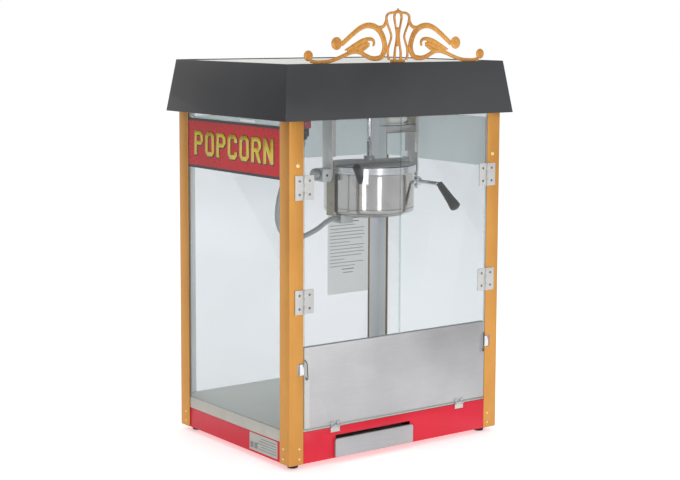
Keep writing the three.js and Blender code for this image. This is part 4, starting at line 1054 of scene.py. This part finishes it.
def make_liners(m):
    """Pale angles inside the glass, behind the corner posts."""
    side_lo, side_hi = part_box("right_glass")
    back_lo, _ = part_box("back_glass")
    post_lo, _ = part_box("post_back_right")
    inner_x, inner_y = side_lo.x, back_lo.y
    low, high = side_lo.z + 0.001, side_hi.z - 0.001
    # the liner material carries a painted glow
    sheet = 0.0012
    for side, sign in (("left", -1), ("right", 1)):
        def leg(name, x0, x1, y0, y1):
            x0, x1 = sorted((sign * x0, sign * x1))
            return slab(name, (x0, y0, low), (x1, y1, high), m["liner"], "cabinet", 0.0003)

        back = merge(f"glass_liner_back_{side}", [
            leg("side_leg", inner_x - sheet, inner_x - 0.0001, post_lo.y, inner_y - 0.0003),
            leg("back_leg", post_lo.x, inner_x - 0.0003, inner_y - sheet, inner_y - 0.0001),
        ], m["liner"], "cabinet")
        front = leg(f"glass_liner_front_{side}", inner_x - sheet, inner_x - 0.0001, -0.1888, -post_lo.y)


POST_SCREW_RADIUS, POST_DOME_RADIUS, HINGE_SCREW_RADIUS = 0.0028, 0.0045, 0.0024


def make_trims(m):
    make_sign(m, "left_glass", -X_AXIS, -Y_AXIS, SIDE_SIGN_HALF)
    make_sign(m, "right_glass", X_AXIS, Y_AXIS, SIDE_SIGN_HALF)
    make_sign(m, "back_glass", Y_AXIS, -X_AXIS, BACK_SIGN_HALF)
    make_liners(m)
    # the label's paper carries a painted glow
    label = slab("left_glass_label", (-0.25195, -0.078, 0.638), (-0.25175, -0.027, 0.642),
                 m["paper"], "cabinet", 0.00005, 1)

    # posts: two screws low on each face, and a dome screw near the top
    for end, ysign in (("front", -1), ("back", 1)):
        for side, xsign in (("left", -1), ("right", 1)):
            for i, z in enumerate((0.0215, 0.0405)):
                head = screw(f"post_screw_{end}_{side}_face_{i}", (xsign * 0.2315, ysign * 0.193, z),
                             (0, ysign, 0), POST_SCREW_RADIUS, m["dome"], "cabinet")
                head = screw(f"post_screw_{end}_{side}_edge_{i}", (xsign * 0.254, ysign * 0.1732, z),
                             (xsign, 0, 0), POST_SCREW_RADIUS, m["dome"], "cabinet")
            head = screw(f"post_dome_{end}_{side}", (xsign * 0.2355, ysign * 0.193, 0.566),
                         (0, ysign, 0), POST_DOME_RADIUS, m["dome"], "cabinet", 0.0022)
    # hinge screws
    for side, xsign in (("left", -1), ("right", 1)):
        for level in ("upper", "lower"):
            for kind, body in (("post_leaf", "cabinet"), ("door_leaf", f"{side}_door")):
                lo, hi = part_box(f"{side}_{kind}_{level}")
                outward = xsign if kind == "post_leaf" else -xsign
                x = (hi.x - 0.0095) if outward > 0 else (lo.x + 0.0095)
                for i, dz in enumerate((-0.0125, 0.0125)):
                    head = screw(f"{side}_{kind}_{level}_screw_{i}",
                                 (x, -0.1949, (lo.z + hi.z) / 2 + dz), (0, -1, 0),
                                 HINGE_SCREW_RADIUS, m["dark_screw"], body, 0.0009)
    # rating plate, left blank
    plate = slab("rating_plate", (-0.25215, -0.151, 0.0145), (-0.2517, -0.057, 0.0475),
                 m["label"], "cabinet", 0.0001)
    front, back = -0.25225, -0.25213
    lines = []
    for k in range(5):
        z = 0.0415 - k * 0.0052
        end = -0.147 + 0.05 + 0.008 * (k % 3)
        lines.append(slab(f"plate_bar_{k}", (front, -0.147, z - 0.0008), (back, end, z + 0.0008),
                          m["ink"], "cabinet", 0.00002, 1))
    for k in range(2):
        y0, y1 = -0.085 + k * 0.014, -0.074 + k * 0.014
        lines.append(slab(f"plate_block_{k}", (front, y0, 0.019), (back, y1, 0.0305),
                          m["ink"], "cabinet", 0.00002, 1))
    merge("rating_plate_bars", lines, m["ink"], "cabinet")
    # canopy corner seams
    for xsign in (-1, 1):
        for ysign in (-1, 1):
            low = Vector((xsign * 0.2728, ysign * 0.2082, 0.648))
            high = Vector((xsign * 0.2590, ysign * 0.1925, 0.7480))
            bead = tube(f"canopy_seam_{'lr'[xsign > 0]}_{'fb'[ysign > 0]}",
                        [low.lerp(high, i / 8) for i in range(9)], 0.0009, m["charcoal"], "cabinet", 12)
    # deck wedge
    wedge = slab("deck_wedge", (-0.212, -0.128, 0.0722), (-0.176, -0.108, 0.0765),
                 m["plastic"], "cabinet", 0.001)


# ---------------------------------------------------------------- instruction card
CARD_PITCH = 0.0074
# share of the card's width, thickness, centred or not
CARD_ROWS = (
    (0.82, 0.003, True), (0.6, 0.0022, True), (0.7, 0.0012, False), (0.96, 0.0012, False),
    (0.93, 0.0012, False), (0.97, 0.0012, False), (0.9, 0.0012, False), (0.55, 0.0012, False),
    (0.95, 0.0012, False), (0.92, 0.0012, False), (0.96, 0.0012, False), (0.88, 0.0012, False),
    (0.4, 0.0012, False), (0.94, 0.0012, False), (0.7, 0.0012, False), (0.34, 0.002, True),
    (0.28, 0.0016, True),
)


def make_card(m):
    """A white sheet with grey bars for text, hung inside the back glass."""
    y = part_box("back_glass")[0].y
    x0, x1, z0, z1 = 0.1085, 0.217, 0.238, 0.413
    # the card's paper carries a painted glow
    sheet = slab("instruction_card", (x0, y - 0.0005, z0), (x1, y - 0.0001, z1),
                 m["paper"], "cabinet", 0.0001)
    bars = []
    middle, widest = (x0 + x1) / 2, (x1 - x0) / 2 - 0.006
    for k, (share, thick, centred) in enumerate(CARD_ROWS):
        z = z1 - 0.011 - k * CARD_PITCH
        half = widest * share
        left = middle - half if centred else x0 + 0.006
        bars.append(slab(f"card_bar_{k}", (left, y - 0.00062, z - thick / 2),
                         (left + 2 * half, y - 0.00049, z + thick / 2),
                         m["ink"], "cabinet", 0.00002, 1))
    merge("instruction_card_bars", bars, m["ink"], "cabinet")


# ---------------------------------------------------------------- light and floor
WORLD_LIGHT, WORLD_IN_MIRRORS = 0.68, 0.44
SOFTBOXES = (
    ("key", (-0.6, -3.6, 2.6), (2.0, 2.0), 17),
    ("fill", (3.0, -2.4, 1.8), (2.4, 2.4), 8),
    ("top", (0.2, 0.4, 3.4), (2.4, 2.4), 20),
    ("back", (0.5, 3.4, 2.0), (2.4, 2.4), 12),
    ("strip_left", (-2.60, -2.34, 0.25), (0.46, 1.5), 16),
    ("strip_front", (-0.61, -3.45, 0.25), (0.46, 1.5), 16),
)


def stage_quad(name, corners):
    mesh = bpy.data.meshes.new(name)
    mesh.from_pydata(corners, [], [(0, 1, 2, 3)])
    quad = bpy.data.objects.new(name, mesh)
    scene.collection.objects.link(quad)
    return quad


def make_stage():
    size = 12
    ground = stage_quad("floor", [(-size, -size, 0), (size, -size, 0), (size, size, 0), (-size, size, 0)])
    n = Nodes("floor")
    cloud = n.mixed(n.noise(0.8, EVEN, 2), (0.80, 0.80, 0.80), (0.83, 0.83, 0.83))
    n.link(cloud, n.bsdf.inputs["Base Color"])
    n.bsdf.inputs["Roughness"].default_value = 0.9
    n.bsdf.inputs["Specular IOR Level"].default_value = 0.1
    n.bsdf.inputs["Emission Color"].default_value = (1, 1, 1, 1)
    n.bsdf.inputs["Emission Strength"].default_value = 0.5
    ground.data.materials.append(n.material)

    # a studio flag left of the machine, which only shades it: neither the camera nor a mirror sees it
    shade = stage_quad("flag", [(-1.5, -1.2, 0.02), (-1.5, 1.6, 0.02), (-1.5, 1.6, 1.0), (-1.5, -1.2, 1.0)])
    shade.data.materials.append(
        finish_material("flag_cloth", linear(96, 92, 88), linear(112, 108, 104), (0.9, 1.0)))
    shade.visible_glossy = False
    shade.visible_camera = False

    world = bpy.data.worlds.new("studio")
    scene.world = world
    world.use_nodes = True
    tree = world.node_tree
    background = tree.nodes["Background"]
    background.inputs["Color"].default_value = (1, 1, 1, 1)
    path = tree.nodes.new("ShaderNodeLightPath")
    total = WORLD_IN_MIRRORS
    for ray, extra in (("Is Camera Ray", 1.0 - WORLD_IN_MIRRORS),
                       ("Is Diffuse Ray", WORLD_LIGHT - WORLD_IN_MIRRORS)):
        step = tree.nodes.new("ShaderNodeMath")
        step.operation = "MULTIPLY_ADD"
        tree.links.new(path.outputs[ray], step.inputs[0])
        step.inputs[1].default_value = extra
        if isinstance(total, float):
            step.inputs[2].default_value = total
        else:
            tree.links.new(total, step.inputs[2])
        total = step.outputs["Value"]
    tree.links.new(total, background.inputs["Strength"])

    for name, place, size, power in SOFTBOXES:
        light = bpy.data.lights.new(name, "AREA")
        light.shape = "RECTANGLE"
        light.size, light.size_y = size
        light.energy = power
        lamp = bpy.data.objects.new(name, light)
        lamp.location = place
        lamp.rotation_euler = (Vector((0, 0, 0.4)) - Vector(place)).to_track_quat("-Z", "Y").to_euler()
        scene.collection.objects.link(lamp)
    scene.view_settings.view_transform = "Standard"


make_camera()
materials = make_materials()
make_lead(materials)
make_cabinet(materials)
make_front(materials)
make_kettle(materials)
make_cresting(materials)
make_trims(materials)
make_card(materials)
make_stage()
